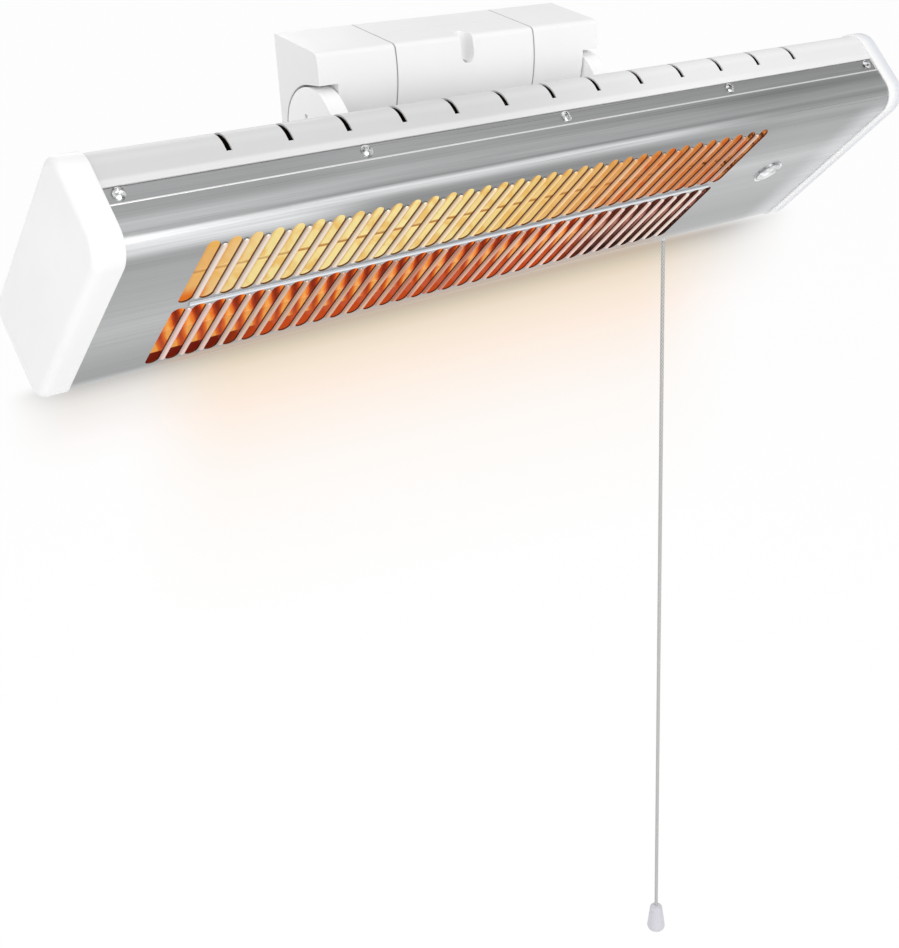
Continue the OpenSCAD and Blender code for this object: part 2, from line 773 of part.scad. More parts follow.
module lug() {
    color(WHITE) on_head() difference() {
        union() {
            along_x(half_w - lug_w, half_w) lug_side();
            // Foot against the shell, with its two screw holes
            translate([half_w - lug_w - 3, 0, -lug_foot_h / 2])
                translate([0, back_y, 0]) cube([lug_w + 3, lug_foot_t, lug_foot_h]);
        }
        rod_x(bolt_r + FIT, half_w - lug_w - 1, half_w + 1);
        rod_x(bolt_head_r + 0.6, half_w - counterbore, half_w + 1);
        // Small blind hole above the bolt
        translate([0, bolt_head_r + 2.8, 2]) rod_x(1.4, half_w - 4, half_w + 1);
        for (z = [-1, 1]) translate([lug_x, 0, z * (lug_r + 5)])
            rod_y(2, back_y - 1, back_y + lug_foot_t + 1);
    }
}

module left_lug() {
    mirror([1, 0, 0]) lug();
}

module right_lug() {
    lug();
}

module lug_screws() {
    color(ZINC) on_head() for (s = [-1, 1], z = [-1, 1])
        translate([s * lug_x, back_y + lug_foot_t, z * (lug_r + 5)]) rotate([-90, 0, 0])
            pan_screw(3.2, 2, 1.75, lug_foot_t + 6);
}

// Head: heating

// Reflector section: three troughs behind the tubes, with a wall that flares out to the slots' end at each side
module reflector_side() {
    difference() {
        union() {
            for (z = tube_z) translate([tube_y, z]) circle(trough_r + plate_t);
            translate([tube_y, trough_bottom - plate_t]) square([4, trough_top - trough_bottom + 2 * plate_t]);
        }
        for (z = tube_z) translate([tube_y, z]) circle(trough_r);
        translate([face_y - trough_r, bottom_z]) square([tube_depth + trough_r, head_h]);
        translate([tube_y - 1, trough_bottom]) square([1 + 3.2, trough_top - trough_bottom]);
    }
}

// One flared wall, from the trough's edge at z0 to the front at z1
module flared_wall(z0, z1) {
    run = tube_y - reflector_front;
    way = sign(z1 - z0);
    thick = way * plate_t * norm([run, z1 - z0]) / run;
    side = [[tube_y + 3, z0 + way * plate_t / 8], [tube_y, z0 + way * plate_t / 8], [reflector_front, z1],
        [reflector_front, z1 + thick], [tube_y, z0 + thick], [tube_y + 3, z0 + way * plate_t * 7 / 8]];
    polygon(way > 0 ? side : [for (i = [len(side) - 1:-1:0]) side[i]]);
}

module reflector() {
    x0 = end_plate_left + plate_t + GAP;
    x1 = end_plate_right - GAP;
    color(BRIGHT) on_head() union() {
        along_x(x0, x1) reflector_side();
        along_x(x0, x1) flared_wall(trough_top, flare_top);
        along_x(x0, x1) flared_wall(trough_bottom, flare_bottom);
    }
}

// Folded end plate with one hole for each tube
module tube_bracket(x, side) {
    foot_y = tube_y + 17;
    color(ZINC) on_head() difference() {
        union() {
            translate([x, reflector_front, flare_bottom])
                cube([plate_t, foot_y - reflector_front + plate_t, flare_top - flare_bottom]);
            translate([side < 0 ? x - 9 : x, foot_y, trough_bottom - 8])
                cube([9 + plate_t, plate_t, trough_top - trough_bottom + 16]);
        }
        for (z = tube_z) translate([0, tube_y, z]) rod_x(tube_r + GAP, x - 1, x + 1 + plate_t);
    }
}

module left_tube_bracket() {
    tube_bracket(end_plate_left, -1);
}

module right_tube_bracket() {
    tube_bracket(end_plate_right, 1);
}

module quartz_tube(i) {
    color(GLOW) on_head() translate([0, tube_y, tube_z[i]]) difference() {
        rod_x(tube_r, tube_left, tube_right);
        rod_x(tube_bore, tube_left - 1, tube_right + 1);
    }
}

module upper_tube() {
    quartz_tube(0);
}

module middle_tube() {
    quartz_tube(1);
}

module lower_tube() {
    quartz_tube(2);
}

// A coil is one unbroken wire: eight rings a curl, with a straight lead at each end
coil_start = end_plate_left + 8;
coil_lead = 2 * wire_r;
function coil_point(k) = [coil_start + coil_step * k / 8, coil_r * cos(45 * k), coil_r * sin(45 * k)];
coil_path = concat(
    [[tube_left - 0.3, coil_r, 0], coil_point(0) - [coil_lead, 0, 0]],
    [for (k = [1:8 * coil_curls - 1]) coil_point(k)],
    [coil_point(8 * coil_curls) + [coil_lead, 0, 0], [tube_right + 0.3, coil_r, 0]]);
coil_gap = min([for (k = [8:8 * coil_curls - 1]) norm(coil_point(k) - coil_point(k - 8))]) - 2 * wire_r;
echo(coil_gap = coil_gap);

module heating_coil(i) {
    rings = [for (k = [0:len(coil_path) - 1])
        tube_ring(coil_path[k], tangent(coil_path, k), [0, coil_path[k].y, coil_path[k].z], wire_r, 6)];
    color(HOT) on_head() translate([0, tube_y, tube_z[i]]) loft(rings);
}

module upper_coil() {
    heating_coil(0);
}

module middle_coil() {
    heating_coil(1);
}

module lower_coil() {
    heating_coil(2);
}

// Stepped ceramic end with a cup for the tube and a terminal pin
module ceramics(x_plate, side) {
    color(CERAMIC) on_head() for (z = tube_z) translate([x_plate, tube_y, z]) mirror([side < 0 ? 1 : 0, 0, 0]) {
        rotate([0, 90, 0]) rotate_extrude() polygon([[0, 10.3], [tube_r + 0.2, 10.3], [tube_r + 0.2, 0.1],
            [ceramic_r, 0.1], [ceramic_r, ceramic_len - 5], [ceramic_r - 3, ceramic_len - 5],
            [ceramic_r - 3, ceramic_len], [0, ceramic_len]]);
        rod_x(pin_r, ceramic_len - 1, ceramic_len + pin_len);
    }
}

module left_ceramics() {
    ceramics(end_plate_left, -1);
}

module right_ceramics() {
    ceramics(end_plate_right + plate_t, 1);
}

// Head: electrical parts

module terminal_block() {
    size = terminal_size;
    color(CERAMIC) on_head() translate([terminal_x, back_y - shell_wall - 0.1 - size.y, terminal_z]) difference() {
        cube(size);
        for (i = [0:2]) translate([size.x * (i + 0.5) / 3, -1, 0]) {
            translate([-3.5, 0, -1]) cube([7, 6, size.z + 2]);
            translate([0, 0, size.z / 2]) rod_y(2.2, 0, 9);
        }
    }
}

module pull_switch() {
    color(WHITE) on_head() difference() {
        union() {
            translate([cord_x + switch_shift - switch_size.x / 2, cord_y - switch_size.y / 2, switch_z - switch_size.z / 2])
                cube(switch_size);
            // Shoulder that stands on the shell's floor
            difference() {
                translate([cord_x - 9, lower_y + 2 + GAP, bottom_z + shell_wall + 0.1])
                    cube([18, cord_y + 9 - lower_y - 2 - GAP, 12]);
                translate([cord_x, cord_y, bottom_z]) cylinder(r = bush_r + 0.5, h = 9.5);
            }
        }
        translate([cord_x, cord_y, bottom_z]) cylinder(r = bush_bore, h = switch_z + plunger_room - bottom_z);
        translate([cord_x, cord_y, switch_z - pull_travel - 0.5])
            cylinder(r = plunger_r + GAP, h = pull_travel + plunger_room);
    }
}

module cord_bush() {
    color(WHITE) on_head() translate([cord_x, cord_y, bottom_z]) rotate_extrude() polygon([
        [bush_bore, -1.6], [bush_bore + 0.4, -2], [bush_r + 1, -2], [bush_r + 2, -1.2], [bush_r + 2, -0.1],
        [bush_r, -0.1], [bush_r, 6], [bush_bore, 6]]);
}

module indicator_lens() {
    rise = 2.4;
    dome = (pow(lens_r, 2) + pow(rise, 2)) / (2 * rise);
    color([0.85, 0.87, 0.88]) on_head() translate([lens_x, face_y, lens_z]) {
        intersection() {
            rod_y(lens_r, -rise - 1, -0.1);
            translate([0, dome - rise - 0.1, 0]) sphere(r = dome, $fn = 96);
        }
        rod_y(lens_r - 1, -0.2, sheet + 2);
    }
}

module indicator_lamp() {
    color(BRASS) on_head() translate([lens_x, face_y + sheet + 2.1, lens_z]) {
        rod_y(lens_r + 1.5, 0, 3);
        rod_y(lens_r - 2, 2, 14);
        for (x = [-3, 3]) translate([x - 0.4, 14 - EPS, -3]) cube([0.8, 7, 6]);
    }
}

module cable_gland() {
    color(WHITE) on_head() translate([gland_x, back_y, gland_z]) difference() {
        union() {
            rod_y(gland_r, -shell_wall - 9, 1);
            rod_y(gland_r + 3, 0.1, 4.1);
            rotate([-90, 0, 0]) translate([0, 0, 4]) cylinder(r = gland_r + 1.6, h = 9, $fn = 6);
            rotate([-90, 0, 0]) translate([0, 0, 13 - EPS]) cylinder(r1 = gland_r, r2 = gland_bore + 1.4, h = 4);
        }
        rod_y(gland_bore, -shell_wall - 10, 20);
    }
}

// Pull cord

module switch_link() {
    color(ZINC) on_head() translate([cord_x, cord_y, 0]) {
        translate([0, 0, eye_z + ring_r]) cylinder(r = link_r, h = switch_z + plunger_t - eye_z - ring_r);
        translate([0, 0, switch_z]) cylinder(r = plunger_r, h = plunger_t);
        translate([0, 0, eye_z]) rotate([90, 0, 0]) rotate_extrude() translate([ring_r, 0]) circle(ring_wire, $fn = 24);
    }
}

module cord_ring() {
    color(ZINC) translate([hinge_point.x, hinge_point.y, hinge_point.z - ring_drop]) {
        rotate([0, 90, 0]) rotate_extrude() translate([ring_r, 0]) circle(ring_wire, $fn = 24);
        translate([0, 0, -ring_r - ferrule_h]) cylinder(r = cord_r + 0.9, h = ferrule_h);
    }
}

module pull_cord() {
    color(WHITE) loft([for (p = cord_route) tube_ring(p, [0, 0, -1], [0, 1, 0], cord_r, 8)]);
}

// Bell: a domed top, a straight flare to the mouth and a hollow in the foot
module cord_knob() {
    top_r = cord_r + 0.2;
    dome_r = 0.7 * knob_r;
    dome_h = 0.12 * knob_h;
    flare_h = 0.73 * knob_h;
    hollow_r = knob_r - 2.8;
    color(WHITE) translate([hinge_point.x, hinge_point.y, knob_top]) rotate_extrude() polygon(concat(
        [[0, 0]],
        [for (a = [0:15:90]) [top_r + (dome_r - top_r) * sin(a), -dome_h * (1 - cos(a))]],
        [[knob_r, -dome_h - flare_h]],
        [for (a = [15:15:90]) [knob_r - 2 + 2 * cos(a), -knob_h + 3.9 - 3.9 * sin(a)]],
        [[hollow_r, -knob_h], [hollow_r, -knob_h + 4], [0, -knob_h + 5.5]]));
}

wall_plate();
bracket_housing();
left_shoulder();
right_shoulder();
bracket_cover();
cover_screw();
plate_screws();
left_pivot_bolt();
right_pivot_bolt();
pivot_washers();
pivot_nuts();
front_cover();
rear_shell();
left_end_cap();
right_end_cap();
strip_screws();
left_lug();
right_lug();
lug_screws();
reflector();
left_tube_bracket();
right_tube_bracket();
upper_tube();
middle_tube();
lower_tube();
upper_coil();
middle_coil();
lower_coil();
left_ceramics();
right_ceramics();
terminal_block();
pull_switch();
cord_bush();
indicator_lens();
indicator_lamp();
cable_gland();
switch_link();
cord_ring();
pull_cord();
cord_knob();
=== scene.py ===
"""Looks of an infrared patio heater: a tilting head with glowing tubes, a wall bracket and a pull cord."""

import math

import bmesh
import bpy
from bpy.props import FloatProperty, FloatVectorProperty, IntProperty, PointerProperty
from mathutils import Matrix, Vector


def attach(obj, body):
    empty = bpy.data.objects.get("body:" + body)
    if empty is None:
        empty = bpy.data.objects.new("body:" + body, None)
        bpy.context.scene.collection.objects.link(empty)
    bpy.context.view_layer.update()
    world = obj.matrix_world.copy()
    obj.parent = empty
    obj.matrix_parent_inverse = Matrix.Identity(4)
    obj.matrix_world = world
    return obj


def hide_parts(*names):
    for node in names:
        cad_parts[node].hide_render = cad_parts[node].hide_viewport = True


bl_info = {
    "name": "Infrared Patio Heater",
    "version": (1, 0, 0),
    "blender": (4, 5, 0),
    "location": "3D View > Sidebar > Heater",
    "description": "Dresses the packed heater with its finishes, coils, caps, lens, cord and stage",
    "category": "Object",
}

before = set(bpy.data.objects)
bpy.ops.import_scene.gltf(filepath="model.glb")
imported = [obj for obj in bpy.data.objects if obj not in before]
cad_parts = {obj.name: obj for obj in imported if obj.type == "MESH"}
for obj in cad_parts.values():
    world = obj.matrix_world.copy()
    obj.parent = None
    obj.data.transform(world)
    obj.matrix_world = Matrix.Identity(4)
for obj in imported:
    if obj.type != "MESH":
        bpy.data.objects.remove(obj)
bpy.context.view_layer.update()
MM = 0.001

# The photograph's viewing place and directions, its lens and its longer side in pixels
CAMERA_PLACE = Vector((-0.53763, -0.72121, 0.10856))
CAMERA_RIGHT = Vector((0.78718, -0.61471, -0.04980))
CAMERA_UP = Vector((0.27288, 0.27476, 0.92198))
CAMERA_BACK = CAMERA_RIGHT.cross(CAMERA_UP)
LENS_PIXELS = 1361.96
LONG_SIDE_PIXELS = 948
SENSOR_WIDTH = 36

# The head's own frame: X along the head, -Y out of its face, Z up the face
PIVOT = Vector((0, -31 * MM, -7 * MM))
TILT = math.radians(49)
HEAD = Matrix.Translation(PIVOT) @ Matrix.Rotation(TILT, 4, "X")
FACE_Y = -95 * MM
BACK_Y = -35 * MM
TOP_Z = 78 * MM
BOTTOM_Z = -69 * MM
BODY_HALF = 284 * MM
FOLD_RADIUS = 14 * MM
SHEET_INSIDE = 0.9 * MM

# The caps: their two ends, how far they stand proud, and a corner radius for each side in Y and Z
CAP_START = BODY_HALF + 0.1 * MM
CAP_END = 300 * MM
CAP_PROUD = 1.2 * MM
CAP_INNER_BEVEL = 0.6 * MM
CAP_CORNERS = {(-1, -1): 11 * MM, (-1, 1): 14 * MM, (1, 1): 14 * MM, (1, -1): 10 * MM}

# The grille, and the tubes behind it, whose glow is painted as it shows on the face from one place
SLOT_PITCH = 12 * MM
FIRST_BAR = -232 * MM
GLOW_CENTRE = HEAD.inverted() @ CAMERA_PLACE
TUBE_Y = -85 * MM
TUBE_Z = (39.5 * MM, 8.5 * MM, -22.5 * MM)
HALF_TUBE_GAP = (TUBE_Z[0] - TUBE_Z[1]) / 2
COIL_FROM = -244 * MM
COIL_TO = 162 * MM
COIL_WIRE = 0.6 * MM

# The stretch of the folded section along which the steel's painted reflections and shade run
SECTION_FROM = -20 * MM
SECTION_TO = 160 * MM

BRACKET_SEAM = 53.5 * MM
LENS_CENTRE = Vector((214 * MM, FACE_Y, 11.5 * MM))
LENS_BEZEL = 1.6 * MM
LENS_RISE = 2.1 * MM
CORD_TOP = Vector((198, -19.4503, -128.767)) * MM
CORD_RINGS = 60
BRAID_PITCH = 3.2 * MM

# The stage: the floor, and the head's lower edge in the photograph, as a slope and a drop per metre ahead
FLOOR_Z = -0.90
FLOOR_RADIUS = 30
EDGE_SLOPE = 0.2427
EDGE_DROP = 0.1304
LIGHTS = (
    # Name, place, target, size in metres and power in watts
    ("left_light", (-1.9, -0.6, 0.3), (-0.2, -0.08, 0), 1.6, 8.5),
    ("front_light", (-0.2, -1.9, 0.35), (0, -0.08, 0.05), 1.2, 13),
    ("top_light", (0.2, -0.5, 1.8), (0, -0.08, 0), 1.8, 3.6),
    ("back_light", (0.3, 1.5, 0.9), (0, -0.08, 0), 1.4, 4),
)
BLACK = (0, 0, 0)
WHITE = (1, 1, 1)


class HeaterSizes(bpy.types.PropertyGroup):
    """Sizes of the modelled pieces"""

    cap_round: FloatProperty(
        name="Cap rounding", description="Radius of the rounded outer edge of an end cap",
        default=5 * MM, min=2 * MM, max=10 * MM, unit="LENGTH")
    cord_length: FloatProperty(
        name="Cord length", description="Length of the pull cord from its ferrule to its knob",
        default=0.620, min=0.2, max=1.2, unit="LENGTH")
    cord_width: FloatProperty(
        name="Cord diameter", description="Diameter of the braided pull cord",
        default=3 * MM, min=1 * MM, max=5 * MM, unit="LENGTH")
    coil_radius: FloatProperty(
        name="Coil radius", description="Radius of a heating coil to the middle of its wire",
        default=3.9 * MM, min=2 * MM, max=5 * MM, unit="LENGTH")
    coil_curls: IntProperty(
        name="Coil curls", description="Number of curls in each heating coil",
        default=66, min=30, max=120)
    lens_radius: FloatProperty(
        name="Lens radius", description="Radius of the indicator lens",
        default=10.5 * MM, min=4 * MM, max=14 * MM, unit="LENGTH")


class HeaterColours(bpy.types.PropertyGroup):
    """Main colours of the finishes and the floor"""

    plastic: FloatVectorProperty(
        name="White plastic", description="Colour of the bracket, the lugs and the caps",
        subtype="COLOR", size=3, default=(0.88, 0.88, 0.88), min=0, max=1)
    paint: FloatVectorProperty(
        name="White paint", description="Colour of the painted rear shell",
        subtype="COLOR", size=3, default=(0.74, 0.74, 0.745), min=0, max=1)
    steel: FloatVectorProperty(
        name="Brushed steel", description="Colour of the stainless front",
        subtype="COLOR", size=3, default=(0.50, 0.51, 0.52), min=0, max=1)
    floor: FloatVectorProperty(
        name="Floor", description="Colour of the studio floor",
        subtype="COLOR", size=3, default=(0.90, 0.90, 0.90), min=0, max=1)


# Materials


class Finish:
    """One node material, with short ways to add the nodes that these finishes share."""

    def __init__(self, name, colour, rough, metal=0.0, in_head=False):
        self.material = bpy.data.materials.new(name)
        self.material.use_nodes = True
        tree = self.material.node_tree
        self.nodes = tree.nodes
        self.links = tree.links
        self.bsdf = next(n for n in self.nodes if n.type == "BSDF_PRINCIPLED")
        self.set("Base Color", (*colour, 1))
        self.set("Roughness", rough)
        self.set("Metallic", metal)
        self.material.diffuse_color = (*colour, 1)
        place = self.nodes.new("ShaderNodeMapping")
        place.vector_type = "TEXTURE"
        if in_head:
            place.inputs["Location"].default_value = PIVOT
            place.inputs["Rotation"].default_value = (TILT, 0, 0)
        self.links.new(self.nodes.new("ShaderNodeTexCoord").outputs["Object"], place.inputs["Vector"])
        self.place = place.outputs[0]

    def set(self, socket, value):
        self.bsdf.inputs[socket].default_value = value

    def feed(self, socket, output):
        self.links.new(output, self.bsdf.inputs[socket])

    def stretched(self, scale, location=(0, 0, 0)):
        node = self.nodes.new("ShaderNodeMapping")
        node.inputs["Scale"].default_value = scale
        node.inputs["Location"].default_value = location
        self.links.new(self.place, node.inputs["Vector"])
        return node.outputs[0]

    def noise(self, scale, detail=3.0, rough=0.5, vector=None):
        node = self.nodes.new("ShaderNodeTexNoise")
        node.inputs["Scale"].default_value = scale
        node.inputs["Detail"].default_value = detail
        node.inputs["Roughness"].default_value = rough
        self.links.new(vector or self.place, node.inputs["Vector"])
        return node.outputs["Fac"]

    def axes(self):
        node = self.nodes.new("ShaderNodeSeparateXYZ")
        self.links.new(self.place, node.inputs[0])
        return node.outputs

    def math(self, kind, a, b=0.0, c=0.0):
        node = self.nodes.new("ShaderNodeMath")
        node.operation = kind
        for socket, value in zip(node.inputs, (a, b, c)):
            if isinstance(value, (int, float)):
                socket.default_value = value
            else:
                self.links.new(value, socket)
        return node.outputs[0]

    def times(self, a, b):
        return self.math("MULTIPLY", a, b)

    def plus(self, a, b):
        return self.math("ADD", a, b)

    def minus(self, a, b):
        return self.math("SUBTRACT", a, b)

    def span(self, value, low, high, to_low=0.0, to_high=1.0, kind="SMOOTHSTEP"):
        """Passes softly from one number at the low end to another at the high end."""
        node = self.nodes.new("ShaderNodeMapRange")
        node.interpolation_type = kind
        for socket, number in zip(node.inputs[1:5], (low, high, to_low, to_high)):
            socket.default_value = number
        self.links.new(value, node.inputs[0])
        return node.outputs[0]

    def evenly(self, value, low, high):
        """Passes from 0 to 1 at an even rate."""
        return self.span(value, low, high, kind="LINEAR")

    def step(self, value, edge):
        """0 below the edge and 1 above it."""
        soft = 0.04 * MM
        return self.span(value, edge - soft, edge + soft)

    def band(self, value, start, full, fade, end, strength=1.0):
        """Rises from 0 at its start to its strength, and fades to 0 at its end."""
        return self.times(self.span(value, start, full), self.span(value, fade, end, strength, 0))

    def ramp(self, value, *stops):
        node = self.nodes.new("ShaderNodeValToRGB")
        ramp = node.color_ramp
        while len(ramp.elements) < len(stops):
            ramp.elements.new(0.5)
        for element, (at, colour) in zip(ramp.elements, stops):
            element.position = at
            element.color = (*colour, 1)
        self.links.new(value, node.inputs[0])
        return node.outputs[0]

    def mottled(self, scale, detail, colour, dark, light):
        """A colour in soft clouds between a darker and a lighter shade of it."""
        return self.ramp(self.noise(scale, detail), (0.3, shade(colour, dark)), (0.7, shade(colour, light)))

    def mix(self, factor, a, b, kind="MIX"):
        node = self.nodes.new("ShaderNodeMix")
        node.data_type = "RGBA"
        node.blend_type = kind
        sockets = [node.inputs[0], node.inputs[6], node.inputs[7]]
        for socket, value in zip(sockets, (factor, a, b)):
            if isinstance(value, (int, float)):
                socket.default_value = value
            elif isinstance(value, tuple):
                socket.default_value = (*value, 1)
            else:
                self.links.new(value, socket)
        return node.outputs[2]

    def sunk(self):
        """Depth under the head's outer skin, which has rounded folds, and negative outside it."""
        _, y, z = self.axes()
        past = []
        for axis, low, high in ((y, FACE_Y, BACK_Y), (z, BOTTOM_Z, TOP_Z)):
            from_middle = self.math("ABSOLUTE", self.minus(axis, (low + high) / 2))
            past.append(self.minus(from_middle, (high - low) / 2 - FOLD_RADIUS))
        squares = [self.math("POWER", self.math("MAXIMUM", side, 0.0), 2) for side in past]
        corner = self.math("SQRT", self.plus(*squares))
        inner = self.math("MINIMUM", self.math("MAXIMUM", *past), 0.0)
        return self.minus(FOLD_RADIUS, self.plus(corner, inner))

    def dot(self, origin, axis):
        """How far a point lies from the origin along an axis."""
        away = self.nodes.new("ShaderNodeVectorMath")
        away.operation = "SUBTRACT"
        self.links.new(self.place, away.inputs[0])
        away.inputs[1].default_value = origin
        node = self.nodes.new("ShaderNodeVectorMath")
        node.operation = "DOT_PRODUCT"
        self.links.new(away.outputs[0], node.inputs[0])
        node.inputs[1].default_value = axis
        return node.outputs["Value"]

    def bump(self, height, strength, distance):
        node = self.nodes.new("ShaderNodeBump")
        node.inputs["Strength"].default_value = strength
        node.inputs["Distance"].default_value = distance
        self.links.new(height, node.inputs["Height"])
        self.feed("Normal", node.outputs[0])


def shade(colour, factor):
    return tuple(min(1.0, c * factor) for c in colour)


def grey(level):
    return (level, level, level)


def white_plastic(name, colour, in_head):
    """Moulded white plastic: a painted bluish shade on the head's right cap, and painted shade in the seams
    beside the bracket's cover.
    """
    f = Finish(name, colour, 0.34, in_head=in_head)
    skin = f.mottled(14, 2, colour, 0.975, 1.01)
    x = f.axes()[0]
    if in_head:
        # Painted bluish shade on the head's right cap
        right_cap_shade = f.band(x, 286 * MM, 294 * MM, 298.2 * MM, 299.8 * MM)
        skin = f.mix(right_cap_shade, skin, (0.70, 0.72, 0.76))
        f.bump(f.noise(260, 2), 0.04, 0.12 * MM)
    else:
        # Painted shade in the seams beside the bracket's cover
        from_seam = f.math("ABSOLUTE", f.minus(f.math("ABSOLUTE", x), BRACKET_SEAM))
        skin = f.mix(f.span(from_seam, 0.35 * MM, 0.75 * MM, 0.55, 0), skin, grey(0.12))
        f.bump(f.noise(1500, 2), 0.10, 0.12 * MM)
    f.feed("Base Color", skin)
    f.feed("Roughness", f.span(f.noise(90, 4), 0.35, 0.65, 0.28, 0.40))
    f.set("Coat Weight", 0.12)
    f.set("Coat Roughness", 0.22)
    return f.material


def white_paint(name, colour):
    """Painted sheet of the rear shell, with painted shade that makes its inner side black."""
    f = Finish(name, colour, 0.30, in_head=True)
    x, y = f.axes()[:2]
    skin = f.mottled(9, 2, colour, 0.975, 1.01)
    # Painted shade darkens the shell toward its left end, and painted highlights lighten it by the screw
    # strip and at its rounded back edge
    left_shade = f.span(x, -90 * MM, 150 * MM, 0.80, 1.04)
    line = f.times(f.span(y, -58 * MM, -55.5 * MM, 1, 0), f.span(x, -60 * MM, 200 * MM, 0.15, 0.04))
    back_edge_highlight = f.span(y, -50 * MM, -45 * MM, 0, 0.08)
    skin = f.mix(1.0, skin, f.plus(f.plus(left_shade, line), back_edge_highlight), "MULTIPLY")
    # Painted shade: the inner side is black where only its slits show it, and a quarter as dark by the
    # steel's rear edge
    inside = f.times(f.step(f.sunk(), SHEET_INSIDE), f.span(y, -58 * MM, -57 * MM, 0.25, 1))
    f.feed("Base Color", f.mix(inside, skin, grey(0.006)))
    f.feed("Roughness", f.span(inside, 0, 1, 0.30, 0.9))
    f.bump(f.noise(900, 2), 0.05, 0.2 * MM)
    f.set("Specular IOR Level", 0.4)
    return f.material


def fold_reflections(f, x, along):
    """Painted reflections and shade of the polished sheet round its folds, as tones at places in
    millimetres, from left to right.
    """
    place = f.evenly(along, SECTION_FROM, SECTION_TO)

    def tone(*stops):
        length = SECTION_TO - SECTION_FROM
        greys = [((at * MM - SECTION_FROM) / length, (v, v * 1.01, v * 1.02)) for at, v in stops]
        return f.ramp(place, *greys)

    left = tone(
        (-17, 0.36), (-9, 0.35), (-4, 0.33), (0, 0.40), (3, 0.52), (5, 0.57), (7, 0.56), (9, 0.36),
        (11, 0.50), (13, 0.62), (18, 0.74), (21, 0.72), (24, 0.52), (27, 0.37), (31, 0.31), (37, 0.35),
        (60, 0.38), (97, 0.48), (130, 0.37), (148, 0.33), (153, 0.50))
    middle = tone(
        (-17, 0.40), (-9, 0.40), (-4, 0.39), (1, 0.47), (3.5, 0.50), (6.5, 0.47), (8.5, 0.34), (11, 0.75),
        (13.5, 0.73), (16, 0.42), (19, 0.31), (23, 0.27), (60, 0.38), (97, 0.45), (130, 0.37), (148, 0.40),
        (153, 0.50))
    right = tone(
        (-17, 0.34), (-9, 0.37), (-4, 0.27), (5, 0.44), (8, 0.33), (12, 0.46), (17, 0.40), (22, 0.36),
        (29, 0.39), (45, 0.39), (56, 0.43), (68, 0.57), (78, 0.49), (100, 0.45), (130, 0.36), (146, 0.38),
        (153, 0.50))
    tones = f.mix(f.span(x, -205 * MM, -125 * MM), left, middle)
    tones = f.mix(f.span(x, 40 * MM, 190 * MM), tones, right)
    # Painted highlight at the right end of the top fold
    far_end_highlight = f.times(f.span(x, 245 * MM, 280 * MM), f.span(along, 16 * MM, 30 * MM))
    return f.mix(f.times(far_end_highlight, 0.7), tones, (0.72, 0.73, 0.75))


def bars_and_rail(f, x, z):
    """Bars with painted glow from behind, a painted highlight along the middle and painted shade by the
    slots, and the rail between the rows with a painted highlight and shade.
    """
    place = f.evenly(x, -238 * MM, 170 * MM)
    # Painted glow of the tubes on the bars of the upper and lower rows
    upper = f.ramp(
        place, (0.0, (0.78, 0.67, 0.60)), (0.30, (0.82, 0.68, 0.50)), (0.48, (0.90, 0.68, 0.32)),
        (0.60, (0.90, 0.54, 0.19)), (0.72, (0.78, 0.32, 0.11)), (0.90, (0.66, 0.27, 0.12)),
        (1.0, (0.58, 0.44, 0.42)))
    lower = f.ramp(
        place, (0.0, (0.78, 0.58, 0.55)), (0.13, (0.64, 0.46, 0.36)), (0.28, (0.56, 0.30, 0.20)),
        (0.45, (0.54, 0.19, 0.11)), (0.56, (0.58, 0.27, 0.20)), (0.64, (0.82, 0.50, 0.40)),
        (0.76, (0.86, 0.60, 0.53)), (1.0, (0.88, 0.76, 0.72)))
    bars = f.mix(f.span(z, 9.5 * MM, 11.5 * MM), lower, upper)
    # Painted whitish highlights in patches toward the left end
    highlight_patches = f.span(f.noise(1, 1, 0.5, f.stretched((40, 1, 14))), 0.45, 0.6)
    bars = f.mix(f.times(f.span(x, -200 * MM, -60 * MM, 0, 0.35), highlight_patches), bars, (0.95, 0.80, 0.62))
    # Painted highlight along each bar's middle, painted shade by the slots
    from_middle = f.math("PINGPONG", f.minus(x, FIRST_BAR), SLOT_PITCH / 2)
    rounding_light_and_shade = f.ramp(f.span(from_middle, 0.5 * MM, 2.1 * MM), (0, grey(1.10)), (1, (0.66, 0.62, 0.60)))
    bars = f.mix(1.0, bars, rounding_light_and_shade, "MULTIPLY")
    # Painted highlight and shade across the rail
    rail_light_and_shade = f.ramp(
        f.span(z, 7.5 * MM, 13.5 * MM), (0.05, (0.34, 0.36, 0.38)), (0.30, (0.78, 0.80, 0.84)),
        (0.62, (0.90, 0.92, 0.95)), (0.85, (0.42, 0.44, 0.47)))
    return f.mix(f.band(z, 7.3 * MM, 7.9 * MM, 13.1 * MM, 13.7 * MM), bars, rail_light_and_shade)


